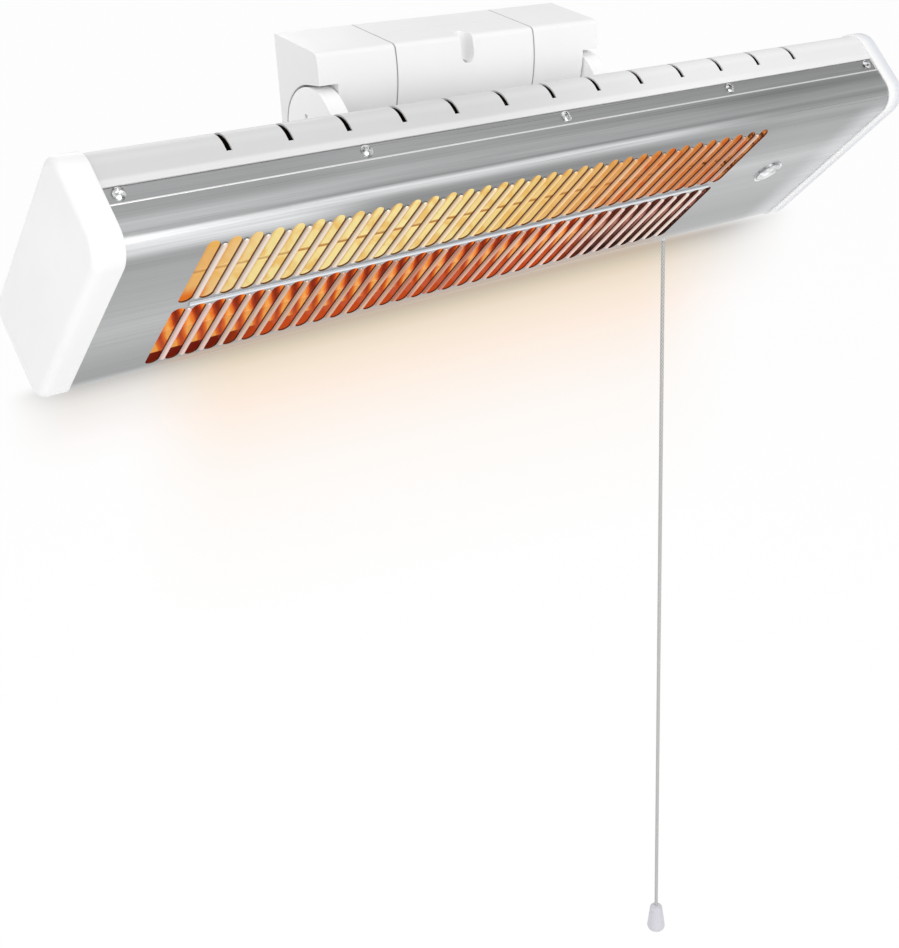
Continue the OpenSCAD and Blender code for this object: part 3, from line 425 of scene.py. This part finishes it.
def brushed_steel(name, colour):
    """Brushed along the head, with painted reflections and shade round its folds, a painted warm reflection
    on its foot, the bars, painted shade on the slot edges, a painted highlight on the hemmed top edge and a
    dark inner side with painted glow.
    """
    f = Finish(name, colour, 0.32, 1.0, in_head=True)
    x, y, z = f.axes()
    fine = f.noise(1, 2, 0.6, f.stretched((9, 1700, 1700)))
    broad = f.noise(1, 3, 0.6, f.stretched((2.2, 260, 260)))
    brushing = f.plus(f.times(fine, 0.55), f.times(broad, 0.45))
    # A place on the folded section, from the screw strip over the top fold and down the face
    along = f.minus(f.times(y, -1), z)
    streaks = f.ramp(brushing, (0.32, grey(0.84)), (0.5, WHITE), (0.68, grey(1.14)))
    skin = f.mix(1.0, fold_reflections(f, x, along), streaks, "MULTIPLY")
    # Painted warm reflection of the glow below, on the foot of the face
    foot = f.band(x, -245 * MM, -215 * MM, 120 * MM, 200 * MM)
    skin = f.mix(f.times(foot, f.span(along, 146 * MM, 151 * MM)), skin, (0.54, 0.42, 0.33))
    sunk = f.sunk()
    # Painted shade on the slot edges
    slot_edge_shade = f.times(f.step(sunk, 0.08 * MM), f.span(z, 69 * MM, 70 * MM, 1, 0))
    skin = f.mix(slot_edge_shade, skin, (0.20, 0.09, 0.055))
    proud = f.step(f.times(y, -1), 0.12 * MM - FACE_Y)
    skin = f.mix(proud, skin, bars_and_rail(f, x, z))
    # Painted highlight on the hemmed top edge
    hem_highlight = f.step(z, TOP_Z + 0.06 * MM)
    skin = f.mix(hem_highlight, skin, grey(0.84))
    # Painted shade darkens the inner side, and painted glow lights its lower part
    inside = f.step(sunk, SHEET_INSIDE)
    f.feed("Base Color", f.mix(inside, skin, (0.05, 0.03, 0.025)))
    f.feed("Roughness", f.span(brushing, 0.3, 0.7, 0.26, 0.42))
    lit = f.times(inside, f.span(z, -40 * MM, -30 * MM, 1, 0))
    f.feed("Emission Color", f.mix(lit, BLACK, glow_colour(f)))
    f.set("Emission Strength", 1.0)
    f.bump(brushing, 0.22, 0.2 * MM)
    f.set("Anisotropic", 0.5)
    return f.material


def zinc(name, in_head):
    """Zinc plating: painted highlights and dark reflections in crisp flecks on the head's small screws, a
    soft spangled tone on the bracket.
    """
    colour = (0.60, 0.61, 0.62)
    f = Finish(name, colour, 0.30, 1.0, in_head=in_head)
    if in_head:
        # Painted highlights and dark reflections in flecks on the head's screws
        spangle_and_glints = f.ramp(f.noise(330, 2), (0.40, grey(0.16)), (0.50, colour), (0.60, grey(0.95)))
    else:
        spangle_and_glints = f.mottled(160, 3, colour, 0.86, 1.12)
    f.feed("Base Color", spangle_and_glints)
    f.feed("Roughness", f.span(f.noise(700, 2), 0.3, 0.7, 0.22, 0.40))
    f.bump(f.noise(900, 2), 0.08, 0.1 * MM)
    return f.material


def on_face(f):
    """Where a point behind the grille shows on the face, on its line from the glow's centre."""
    x, y, z = f.axes()
    share = f.math("DIVIDE", FACE_Y - GLOW_CENTRE.y, f.minus(y, GLOW_CENTRE.y))
    face_x = f.math("MULTIPLY_ADD", f.minus(x, GLOW_CENTRE.x), share, GLOW_CENTRE.x)
    face_z = f.math("MULTIPLY_ADD", f.minus(z, GLOW_CENTRE.z), share, GLOW_CENTRE.z)
    return face_x, face_z


def hot_row(f, x, z):
    """Peach at the left end, then pale yellow, orange and brown to the right, with a darker line along it.
    """
    grain = f.plus(f.times(f.noise(500, 3), 0.05), f.times(f.noise(60, 2), 0.07))
    grain = f.times(f.minus(grain, 0.06), f.span(x, -215 * MM, 0, 0.1, 1.6))
    place = f.plus(f.evenly(x, -240 * MM, 200 * MM), grain)
    row = f.ramp(
        place, (0.015, (0.80, 0.45, 0.15)), (0.045, (0.86, 0.60, 0.26)), (0.075, (0.89, 0.73, 0.31)),
        (0.30, (0.92, 0.78, 0.34)), (0.45, (0.86, 0.66, 0.25)), (0.58, (0.76, 0.44, 0.15)),
        (0.68, (0.62, 0.22, 0.05)), (0.85, (0.56, 0.18, 0.045)), (1.0, (0.60, 0.34, 0.14)))
    flecks = f.times(f.span(f.noise(95, 3), 0.47, 0.62), 0.70)
    row = f.mix(flecks, row, f.mix(f.span(x, 0, 70 * MM), (0.80, 0.44, 0.09), (0.60, 0.085, 0.015)))
    in_slot = f.math("WRAP", f.minus(x, FIRST_BAR), SLOT_PITCH, 0)
    # The painted glow is darker in each slot beside the bar on its left
    brink = f.times(f.span(in_slot, 2 * MM, 4.2 * MM, 1, 0), f.span(x, -225 * MM, -120 * MM, 0.35, 0.8))
    row = f.mix(brink, row, (0.66, 0.27, 0.045))
    corner = f.times(f.span(x, -232 * MM, -225 * MM, 1, 0), f.span(z, 18 * MM, 32 * MM, 1, 0))
    row = f.mix(corner, row, (0.74, 0.16, 0.015))
    # A darker line along the painted glow
    dark_line = f.band(z, 42.3 * MM, 43.0 * MM, 44.0 * MM, 46.5 * MM)
    dark_line = f.times(dark_line, f.span(x, -225 * MM, -150 * MM, 0.4, 0.9))
    return f.mix(dark_line, row, (0.50, 0.20, 0.05))


def streak_row(f, x, z):
    """Slanted streaks of the lowest coil on dark red, above the painted red glow on the inner side of the
    front cover.
    """
    leaning = f.math("MULTIPLY_ADD", z, 0.4, f.minus(x, 7.2 * MM))
    wobble = f.times(f.noise(70, 2), 2.4)
    wave = f.math("SINE", f.plus(f.times(leaning, 2 * math.pi / SLOT_PITCH), wobble))
    sharper = f.times(wave, f.span(f.math("ABSOLUTE", wave), 0, 0.7, 1.5, 1))
    wave = f.math("MULTIPLY_ADD", sharper, 0.42, 0.46)
    lower_light = f.times(f.span(z, -30 * MM, -6 * MM, 1, 0), 0.25)
    wave = f.plus(f.plus(wave, lower_light), f.times(f.noise(420, 3), 0.16))
    lively = f.ramp(
        wave, (0.12, (0.22, 0.016, 0.004)), (0.34, (0.44, 0.044, 0.007)), (0.56, (0.74, 0.12, 0.012)),
        (0.82, (0.84, 0.22, 0.025)), (1.0, (0.92, 0.40, 0.09)))
    dull = f.ramp(
        wave, (0.16, (0.055, 0.014, 0.010)), (0.5, (0.12, 0.032, 0.026)), (1.0, (0.40, 0.16, 0.12)))
    right = f.span(x, 35 * MM, 85 * MM)
    # Painted red glow on the inner side of the front cover, below its edge
    red = f.mix(f.span(x, -205 * MM, -165 * MM), (0.16, 0.010, 0.004), (0.58, 0.075, 0.014))
    foot = f.mix(f.span(z, -50 * MM, -36 * MM), (0.018, 0.012, 0.011), (0.085, 0.024, 0.018))
    cover_edge = f.math("MINIMUM", f.math("MULTIPLY_ADD", x, 0.058, -25.5 * MM), -29 * MM)
    above_edge = f.span(f.minus(z, cover_edge), -0.5 * MM, 0.5 * MM)
    return f.mix(above_edge, f.mix(right, red, foot), f.mix(right, lively, dull))


def glow_colour(f):
    x, z = on_face(f)
    return f.mix(f.span(z, 9 * MM, 11 * MM), streak_row(f, x, z), hot_row(f, x, z))


def glow(name, strength, tube):
    """Glowing quartz or reflector: its own light is painted along it, as the hot coils behind it give it."""
    f = Finish(name, (0.03, 0.015, 0.008), 0.25, in_head=True)
    if tube:
        f.set("Alpha", 0.72)
        f.set("Specular IOR Level", 0.12)
        f.feed("Emission Color", glow_colour(f))
    else:
        _, y, z = f.axes()
        across = f.math("PINGPONG", f.minus(z, TUBE_Z[1]), HALF_TUBE_GAP)
        squares = f.plus(f.math("POWER", across, 2), f.math("POWER", f.minus(y, TUBE_Y), 2))
        in_trough = f.span(f.math("SQRT", squares), 14.9 * MM, 15.1 * MM, 1, 0)
        inner = f.math("MAXIMUM", in_trough, f.span(z, -38 * MM, -37 * MM, 1, 0))
        lit = f.times(inner, f.span(y, -93.6 * MM, -93.2 * MM))
        f.set("Metallic", 0.6)
        f.set("Specular IOR Level", 0.1)
        f.feed("Base Color", f.mix(inner, (0.55, 0.55, 0.54), (0.04, 0.02, 0.012)))
        f.feed("Emission Color", f.mix(lit, BLACK, glow_colour(f)))
    f.set("Emission Strength", strength)
    return f.material


def hot_wire(name):
    f = Finish(name, (0.12, 0.03, 0.01), 0.5, in_head=True)
    f.feed("Emission Color", glow_colour(f))
    f.set("Emission Strength", 1.15)
    return f.material


def ceramic(name):
    colour = (0.78, 0.74, 0.66)
    f = Finish(name, colour, 0.7, in_head=True)
    f.feed("Base Color", f.mottled(130, 4, colour, 0.9, 1.05))
    f.bump(f.noise(1200, 3), 0.25, 0.2 * MM)
    return f.material


def plain(name, colour, rough, metal, in_head):
    """A small part's finish, with slight clouds in its colour and its gloss."""
    f = Finish(name, colour, rough, metal, in_head)
    f.feed("Base Color", f.mottled(110, 3, colour, 0.88, 1.08))
    f.feed("Roughness", f.span(f.noise(500, 2), 0.3, 0.7, rough * 0.85, rough * 1.15))
    f.bump(f.noise(800, 2), 0.1, 0.1 * MM)
    return f.material


def glossy_lens(name):
    """Silvered lens with a painted glint, a painted dark reflection and a painted shade ring inside its
    bezel.
    """
    colour = (0.62, 0.63, 0.65)
    f = Finish(name, colour, 0.10, 0.8, in_head=True)
    x, _, z = f.axes()

    def away(right, up):
        across = f.math("POWER", f.minus(x, LENS_CENTRE.x + right), 2)
        return f.math("SQRT", f.plus(across, f.math("POWER", f.minus(z, LENS_CENTRE.z + up), 2)))

    swirl = f.noise(160, 2, 0.5, f.stretched((1, 1, 2.2)))
    silver = f.ramp(swirl, (0.36, (0.38, 0.39, 0.40)), (0.47, colour), (0.60, (0.86, 0.87, 0.88)))
    # Painted highlight
    glint = f.span(away(-2.5 * MM, -0.5 * MM), 1.5 * MM, 3.5 * MM, 1, 0)
    silver = f.mix(glint, silver, grey(0.98))
    # Painted dark reflection
    dark_reflection = f.span(away(3.8 * MM, 1.5 * MM), 1.0 * MM, 3.2 * MM, 0.95, 0)
    silver = f.mix(dark_reflection, silver, (0.05, 0.05, 0.055))
    # Painted shade round the dome's edge inside the bezel
    bezel_shade = f.band(away(0, 0), 8.0 * MM, 8.5 * MM, 9.2 * MM, 9.7 * MM, 0.85)
    f.feed("Base Color", f.mix(bezel_shade, silver, (0.14, 0.145, 0.15)))
    f.feed("Roughness", f.span(swirl, 0.3, 0.7, 0.05, 0.22))
    f.set("Coat Weight", 1.0)
    f.set("Coat Roughness", 0.03)
    return f.material


def braid(name, colour):
    """Strands that wind both ways round the hanging cord."""
    f = Finish(name, colour, 0.75)
    turn = f.nodes.new("ShaderNodeTexGradient")
    turn.gradient_type = "RADIAL"
    f.links.new(f.stretched(WHITE, (-CORD_TOP.x, -CORD_TOP.y, 0)), turn.inputs["Vector"])
    around = f.times(turn.outputs["Fac"], 8 * math.pi)
    along = f.times(f.axes()[2], 2 * math.pi / BRAID_PITCH)
    right = f.math("SINE", f.plus(around, along))
    left = f.math("SINE", f.minus(around, along))
    weave = f.math("MULTIPLY_ADD", f.math("MAXIMUM", right, left), 0.5, 0.5)
    f.feed("Base Color", f.ramp(weave, (0.15, shade(colour, 0.72)), (0.8, shade(colour, 1.05))))
    f.bump(weave, 0.6, 0.4 * MM)
    f.set("Sheen Weight", 0.2)
    return f.material


def pale_floor(name, colour):
    """Pale floor that shows bright, with a painted soft grey shadow and a painted warm glow in the bands
    under the lit head.
    """
    f = Finish(name, colour, 0.9)
    ahead, across, drop = (f.dot(CAMERA_PLACE, axis) for axis in (-CAMERA_BACK, CAMERA_RIGHT, CAMERA_UP))
    side = f.math("DIVIDE", across, ahead)
    below = f.math("DIVIDE", f.minus(f.times(across, EDGE_SLOPE), drop), ahead)
    reach = f.evenly(f.plus(below, EDGE_DROP), -0.14, 0.22)
    # Painted warm glow of the lit head on the floor
    warm = f.ramp(
        reach, (0.30, (0.56, 0.45, 0.34)), (0.387, (0.56, 0.45, 0.34)), (0.40, (0.645, 0.56, 0.425)),
        (0.413, (0.76, 0.64, 0.49)), (0.43, (0.86, 0.725, 0.58)), (0.46, (0.94, 0.80, 0.655)),
        (0.506, (1, 0.845, 0.74)), (0.536, (1, 0.88, 0.785)), (0.58, (1, 0.91, 0.84)),
        (0.66, (1, 0.955, 0.92)), (0.80, (1, 0.985, 0.97)), (0.95, WHITE))
    # Painted soft grey shadow under the head
    shadow_tints = f.ramp(
        reach, (0.30, (0.52, 0.50, 0.48)), (0.387, (0.52, 0.50, 0.48)), (0.40, (0.65, 0.63, 0.61)),
        (0.413, (0.765, 0.74, 0.715)), (0.43, (0.86, 0.83, 0.80)), (0.46, (0.93, 0.90, 0.88)),
        (0.506, (1, 0.97, 0.96)), (0.56, WHITE))
    # Where the painted shadow and glow lie
    above = f.span(reach, 0.36, 0.387)
    shaded = f.times(above, f.band(side, -0.33, -0.27, 0.19, 0.26))
    glow_area = f.times(above, f.band(side, -0.245, -0.15, 0.13, 0.22))
    paper = f.nodes.new("ShaderNodeEmission")
    paper.inputs["Strength"].default_value = 1.02
    f.links.new(f.mix(glow_area, f.mix(shaded, WHITE, shadow_tints), warm), paper.inputs["Color"])
    ray = f.nodes.new("ShaderNodeLightPath")
    seen = f.math("MAXIMUM", ray.outputs["Is Camera Ray"], ray.outputs["Is Glossy Ray"])
    mixer = f.nodes.new("ShaderNodeMixShader")
    f.links.new(f.times(seen, 0.90), mixer.inputs[0])
    f.links.new(f.bsdf.outputs[0], mixer.inputs[1])
    f.links.new(paper.outputs[0], mixer.inputs[2])
    output = next(n for n in f.nodes if n.type == "OUTPUT_MATERIAL")
    f.links.new(mixer.outputs[0], output.inputs["Surface"])
    return f.material


# Modelling helpers


def clear():
    bpy.ops.object.select_all(action="DESELECT")


def apply_place():
    bpy.ops.object.transform_apply(location=True, rotation=True, scale=True)


def added(name):
    piece = bpy.context.object
    piece.name = name
    piece.data.name = name
    return piece


def edit(piece, pick, kind="FACE"):
    """Opens edit mode on a piece with only the picked faces, edges or vertices selected."""
    if bpy.context.mode != "EDIT_MESH":
        bpy.ops.object.mode_set(mode="EDIT")
    bpy.ops.mesh.select_mode(type=kind)
    bpy.ops.mesh.select_all(action="DESELECT")
    mesh = bmesh.from_edit_mesh(piece.data)
    for part in {"FACE": mesh.faces, "EDGE": mesh.edges, "VERT": mesh.verts}[kind]:
        part.select_set(bool(pick(part)))
    mesh.select_flush_mode()
    bmesh.update_edit_mesh(piece.data)


def outward():
    """Merges doubles, points the faces outwards and leaves edit mode."""
    bpy.ops.mesh.select_all(action="SELECT")
    bpy.ops.mesh.remove_doubles(threshold=1e-6)
    bpy.ops.mesh.normals_make_consistent(inside=False)
    bpy.ops.object.mode_set(mode="OBJECT")


def at_x(x):
    return lambda edge: all(abs(v.co.x - x) < 0.01 * MM for v in edge.verts)


def finished(piece, material, body, stands_for, angle=32, in_head=True):
    """Puts a piece's place into its mesh, smooths it, dresses it and hangs it on its body."""
    clear()
    piece.select_set(True)
    bpy.context.view_layer.objects.active = piece
    if in_head:
        piece.matrix_world = HEAD @ piece.matrix_world
    apply_place()
    bpy.ops.object.shade_smooth_by_angle(angle=math.radians(angle))
    piece.data.materials.clear()
    piece.data.materials.append(material)
    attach(piece, body)
    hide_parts(*stands_for)


def finish_of(name):
    return bpy.data.materials[name]


# Operators


class HEATER_OT_camera(bpy.types.Operator):
    """Adds the camera at the photograph's viewing angle"""

    bl_idname = "heater.camera"
    bl_label = "Camera"

    def execute(self, context):
        data = bpy.data.cameras.new("photo_camera")
        data.sensor_width = SENSOR_WIDTH
        data.lens = LENS_PIXELS * SENSOR_WIDTH / LONG_SIDE_PIXELS
        data.clip_start = 0.02
        data.clip_end = 60
        camera = bpy.data.objects.new("photo_camera", data)
        context.scene.collection.objects.link(camera)
        turn = Matrix((CAMERA_RIGHT, CAMERA_UP, CAMERA_BACK)).transposed().to_4x4()
        camera.matrix_world = Matrix.Translation(CAMERA_PLACE) @ turn
        context.scene.camera = camera
        return {"FINISHED"}


class HEATER_OT_finishes(bpy.types.Operator):
    """Makes the node materials and dresses the carried-over parts"""

    bl_idname = "heater.finishes"
    bl_label = "Finishes"

    def execute(self, context):
        colours = context.scene.heater_colours
        plastic = tuple(colours.plastic)
        # Grey, darker copy of the white plastic for the braided cord: painted shade
        braid("cord_braid", (0.50, 0.50, 0.49))
        dress = {
            white_plastic("bracket_plastic", plastic, False): [
                "bracket_housing", "left_shoulder", "right_shoulder", "bracket_cover"],
            white_plastic("head_plastic", plastic, True): [
                "left_end_cap", "right_end_cap", "pull_switch", "cord_bush", "cable_gland"],
            # Lighter copy of the white plastic for the lugs: painted light
            white_plastic("lug_plastic_painted_light", shade(plastic, 1.1), True): ["left_lug", "right_lug"],
            # Darker lilac copy of the white plastic for the knob and the pull cord: painted shade
            white_plastic("knob_plastic_painted_shade", (0.62, 0.61, 0.66), False): ["cord_knob", "pull_cord"],
            white_paint("shell_paint", tuple(colours.paint)): ["rear_shell"],
            brushed_steel("brushed_steel", tuple(colours.steel)): ["front_cover"],
            zinc("bracket_zinc", False): [
                "wall_plate", "cover_screw", "plate_screws", "left_pivot_bolt", "right_pivot_bolt",
                "pivot_nuts", "switch_link", "cord_ring"],
            zinc("head_zinc", True): [
                "strip_screws", "lug_screws", "left_tube_bracket", "right_tube_bracket"],
            glow("glowing_quartz", 0.95, True): ["upper_tube", "middle_tube", "lower_tube"],
            glow("glowing_reflector", 0.85, False): ["reflector"],
            hot_wire("glowing_wire"): ["upper_coil", "middle_coil", "lower_coil"],
            ceramic("ceramic"): ["left_ceramics", "right_ceramics", "terminal_block"],
            plain("black_fibre", (0.03, 0.03, 0.032), 0.6, 0, False): ["pivot_washers"],
            plain("brass", (0.70, 0.50, 0.20), 0.3, 1, True): ["indicator_lamp"],
            glossy_lens("domed_lens"): ["indicator_lens"],
        }
        for material, names in dress.items():
            for name in names:
                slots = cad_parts[name].data.materials
                slots.clear()
                slots.append(material)
        return {"FINISHED"}


class HEATER_OT_pull_cord(bpy.types.Operator):
    """Models the braided pull cord that hangs from its ferrule"""

    bl_idname = "heater.pull_cord"
    bl_label = "Pull cord"

    def execute(self, context):
        s = context.scene.heater_sizes
        clear()
        middle = CORD_TOP - Vector((0, 0, s.cord_length / 2))
        bpy.ops.mesh.primitive_cylinder_add(
            vertices=20, radius=s.cord_width / 2, depth=s.cord_length, location=middle)
        piece = added("braided_cord")
        apply_place()
        edit(piece, lambda e: abs(e.verts[0].co.z - e.verts[1].co.z) > 0.1, "EDGE")
        bpy.ops.mesh.subdivide(number_cuts=CORD_RINGS - 1)
        outward()
        finished(piece, finish_of("cord_braid"), "cord", ["pull_cord"], in_head=False)
        return {"FINISHED"}


class HEATER_OT_end_caps(bpy.types.Operator):
    """Models the rounded white end caps"""

    bl_idname = "heater.end_caps"
    bl_label = "End caps"

    def execute(self, context):
        s = context.scene.heater_sizes
        middle = Vector((0, (FACE_Y + BACK_Y) / 2, (TOP_Z + BOTTOM_Z) / 2))
        half_y = (BACK_Y - FACE_Y) / 2 + CAP_PROUD
        half_z = (TOP_Z - BOTTOM_Z) / 2 + CAP_PROUD
        for side, name in ((-1, "left_end_cap"), (1, "right_end_cap")):
            clear()
            bpy.ops.mesh.primitive_plane_add(size=1, rotation=(0, math.pi / 2, 0), location=middle)
            piece = added(name + "_shell")
            piece.scale = (2 * half_z, 2 * half_y, 1)
            apply_place()
            for (sy, sz), radius in CAP_CORNERS.items():
                corner = middle + Vector((0, sy * half_y, sz * half_z))
                edit(piece, lambda v: (v.co - corner).length < 0.1 * MM, "VERT")
                bpy.ops.mesh.bevel(
                    offset=radius + CAP_PROUD, offset_type="OFFSET", segments=14, affect="VERTICES")
            bpy.ops.mesh.select_all(action="SELECT")
            bpy.ops.transform.translate(value=(side * CAP_START, 0, 0))
            outer = (side * (CAP_END - CAP_START), 0, 0)
            bpy.ops.mesh.extrude_region_move(TRANSFORM_OT_translate={"value": outer})
            edit(piece, at_x(side * CAP_END), "EDGE")
            bpy.ops.mesh.bevel(offset=s.cap_round, offset_type="OFFSET", segments=9, affect="EDGES")
            edit(piece, at_x(side * CAP_START), "EDGE")
            bpy.ops.mesh.bevel(offset=CAP_INNER_BEVEL, offset_type="OFFSET", segments=3, affect="EDGES")
            outward()
            finished(piece, finish_of("head_plastic"), "head", [name], angle=40)
        return {"FINISHED"}


class HEATER_OT_coils(bpy.types.Operator):
    """Winds the three glowing coils inside the quartz tubes"""

    bl_idname = "heater.coils"
    bl_label = "Heating coils"

    def execute(self, context):
        s = context.scene.heater_sizes
        for z, name in zip(TUBE_Z, ("upper_coil", "middle_coil", "lower_coil")):
            clear()
            bpy.ops.mesh.primitive_circle_add(
                vertices=8, radius=COIL_WIRE, fill_type="NGON", rotation=(math.pi / 2, 0, 0),
                location=(COIL_FROM, 0, s.coil_radius))
            piece = added(name + "_winding")
            apply_place()
            screw = piece.modifiers.new("winding", "SCREW")
            screw.axis = "X"
            screw.angle = 2 * math.pi
            screw.screw_offset = (COIL_TO - COIL_FROM) / s.coil_curls
            screw.iterations = s.coil_curls
            screw.steps = 14
            screw.render_steps = 14
            bpy.ops.object.modifier_apply(modifier="winding")
            bpy.ops.object.mode_set(mode="EDIT")
            outward()
            piece.location = (0, TUBE_Y, z)
            finished(piece, finish_of("glowing_wire"), "head", [name])
        return {"FINISHED"}


class HEATER_OT_lens(bpy.types.Operator):
    """Models the domed indicator lens with its bezel"""

    bl_idname = "heater.lens"
    bl_label = "Indicator lens"

    def execute(self, context):
        radius = context.scene.heater_sizes.lens_radius - LENS_BEZEL
        clear()
        bpy.ops.mesh.primitive_uv_sphere_add(
            segments=48, ring_count=24, radius=radius, rotation=(math.pi / 2, 0, 0), location=LENS_CENTRE)
        piece = added("indicator_dome")
        apply_place()
        edit(piece, lambda v: v.co.y > FACE_Y + 0.01 * MM, "VERT")
        bpy.ops.mesh.delete(type="VERT")
        edit(piece, lambda v: True, "VERT")
        bpy.ops.transform.resize(value=(1, LENS_RISE / radius, 1), center_override=LENS_CENTRE)
        # The bezel steps out round the dome, stands proud of the face and turns in behind it
        edit(piece, lambda e: e.is_boundary, "EDGE")
        bpy.ops.mesh.extrude_region_move(TRANSFORM_OT_translate={"value": (0, 0, 0)})
        bpy.ops.transform.resize(value=(1.19, 1, 1.19), center_override=LENS_CENTRE)
        bpy.ops.transform.translate(value=(0, -0.9 * MM, 0))
        bpy.ops.mesh.extrude_region_move(TRANSFORM_OT_translate={"value": (0, 0.8 * MM, 0)})
        bpy.ops.mesh.extrude_region_move(TRANSFORM_OT_translate={"value": (0, 2.0 * MM, 0)})
        bpy.ops.transform.resize(value=(0.9, 1, 0.9), center_override=LENS_CENTRE)
        bpy.ops.mesh.edge_face_add()
        outward()
        finished(piece, finish_of("domed_lens"), "head", ["indicator_lens"], angle=35)
        return {"FINISHED"}


class HEATER_OT_stage(bpy.types.Operator):
    """Adds the pale floor and the soft studio light"""

    bl_idname = "heater.stage"
    bl_label = "Stage"

    def execute(self, context):
        scene = context.scene
        clear()
        bpy.ops.mesh.primitive_circle_add(
            vertices=96, radius=FLOOR_RADIUS, fill_type="NGON", location=(0, 0, FLOOR_Z))
        floor = added("floor")
        apply_place()
        floor.data.materials.append(pale_floor("pale_floor", tuple(scene.heater_colours.floor)))
        for name, place, target, size, power in LIGHTS:
            data = bpy.data.lights.new(name, "AREA")
            data.shape = "DISK"
            data.size = size
            data.energy = power
            lamp = bpy.data.objects.new(name, data)
            scene.collection.objects.link(lamp)
            lamp.location = place
            lamp.rotation_euler = (Vector(target) - Vector(place)).to_track_quat("-Z", "Y").to_euler()
        scene.world = scene.world or bpy.data.worlds.new("studio")
        scene.world.use_nodes = True
        tree = scene.world.node_tree
        sky = next(n for n in tree.nodes if n.type == "BACKGROUND")
        sky.inputs["Color"].default_value = (*WHITE, 1)
        ray = tree.nodes.new("ShaderNodeLightPath")
        strength = tree.nodes.new("ShaderNodeMapRange")
        strength.inputs["To Min"].default_value = 0.72
        strength.inputs["To Max"].default_value = 0.93
        tree.links.new(ray.outputs["Is Camera Ray"], strength.inputs["Value"])
        tree.links.new(strength.outputs[0], sky.inputs["Strength"])
        scene.view_settings.view_transform = "Standard"
        return {"FINISHED"}


class HEATER_PT_panel(bpy.types.Panel):
    """Lists the heater's sizes, colours and pieces in the sidebar"""

    bl_idname = "HEATER_PT_panel"
    bl_label = "Patio Heater"
    bl_space_type = "VIEW_3D"
    bl_region_type = "UI"
    bl_category = "Heater"

    def draw(self, context):
        layout = self.layout
        for group in (context.scene.heater_sizes, context.scene.heater_colours):
            for name in type(group).__annotations__:
                layout.prop(group, name)
        for step in STEPS:
            layout.operator(step.bl_idname)


STEPS = (
    HEATER_OT_camera,
    HEATER_OT_finishes,
    HEATER_OT_pull_cord,
    HEATER_OT_end_caps,
    HEATER_OT_coils,
    HEATER_OT_lens,
    HEATER_OT_stage,
)
CLASSES = (HeaterSizes, HeaterColours, *STEPS, HEATER_PT_panel)


def register():
    for item in CLASSES:
        bpy.utils.register_class(item)
    bpy.types.Scene.heater_sizes = PointerProperty(type=HeaterSizes)
    bpy.types.Scene.heater_colours = PointerProperty(type=HeaterColours)


def unregister():
    del bpy.types.Scene.heater_colours
    del bpy.types.Scene.heater_sizes
    for item in reversed(CLASSES):
        bpy.utils.unregister_class(item)


def build_heater():
    """Registers the add-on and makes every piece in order."""
    register()
    bpy.ops.heater.camera()
    bpy.ops.heater.finishes()
    bpy.ops.heater.pull_cord()
    bpy.ops.heater.end_caps()
    bpy.ops.heater.coils()
    bpy.ops.heater.lens()
    bpy.ops.heater.stage()


if __name__ == "__main__":
    build_heater()
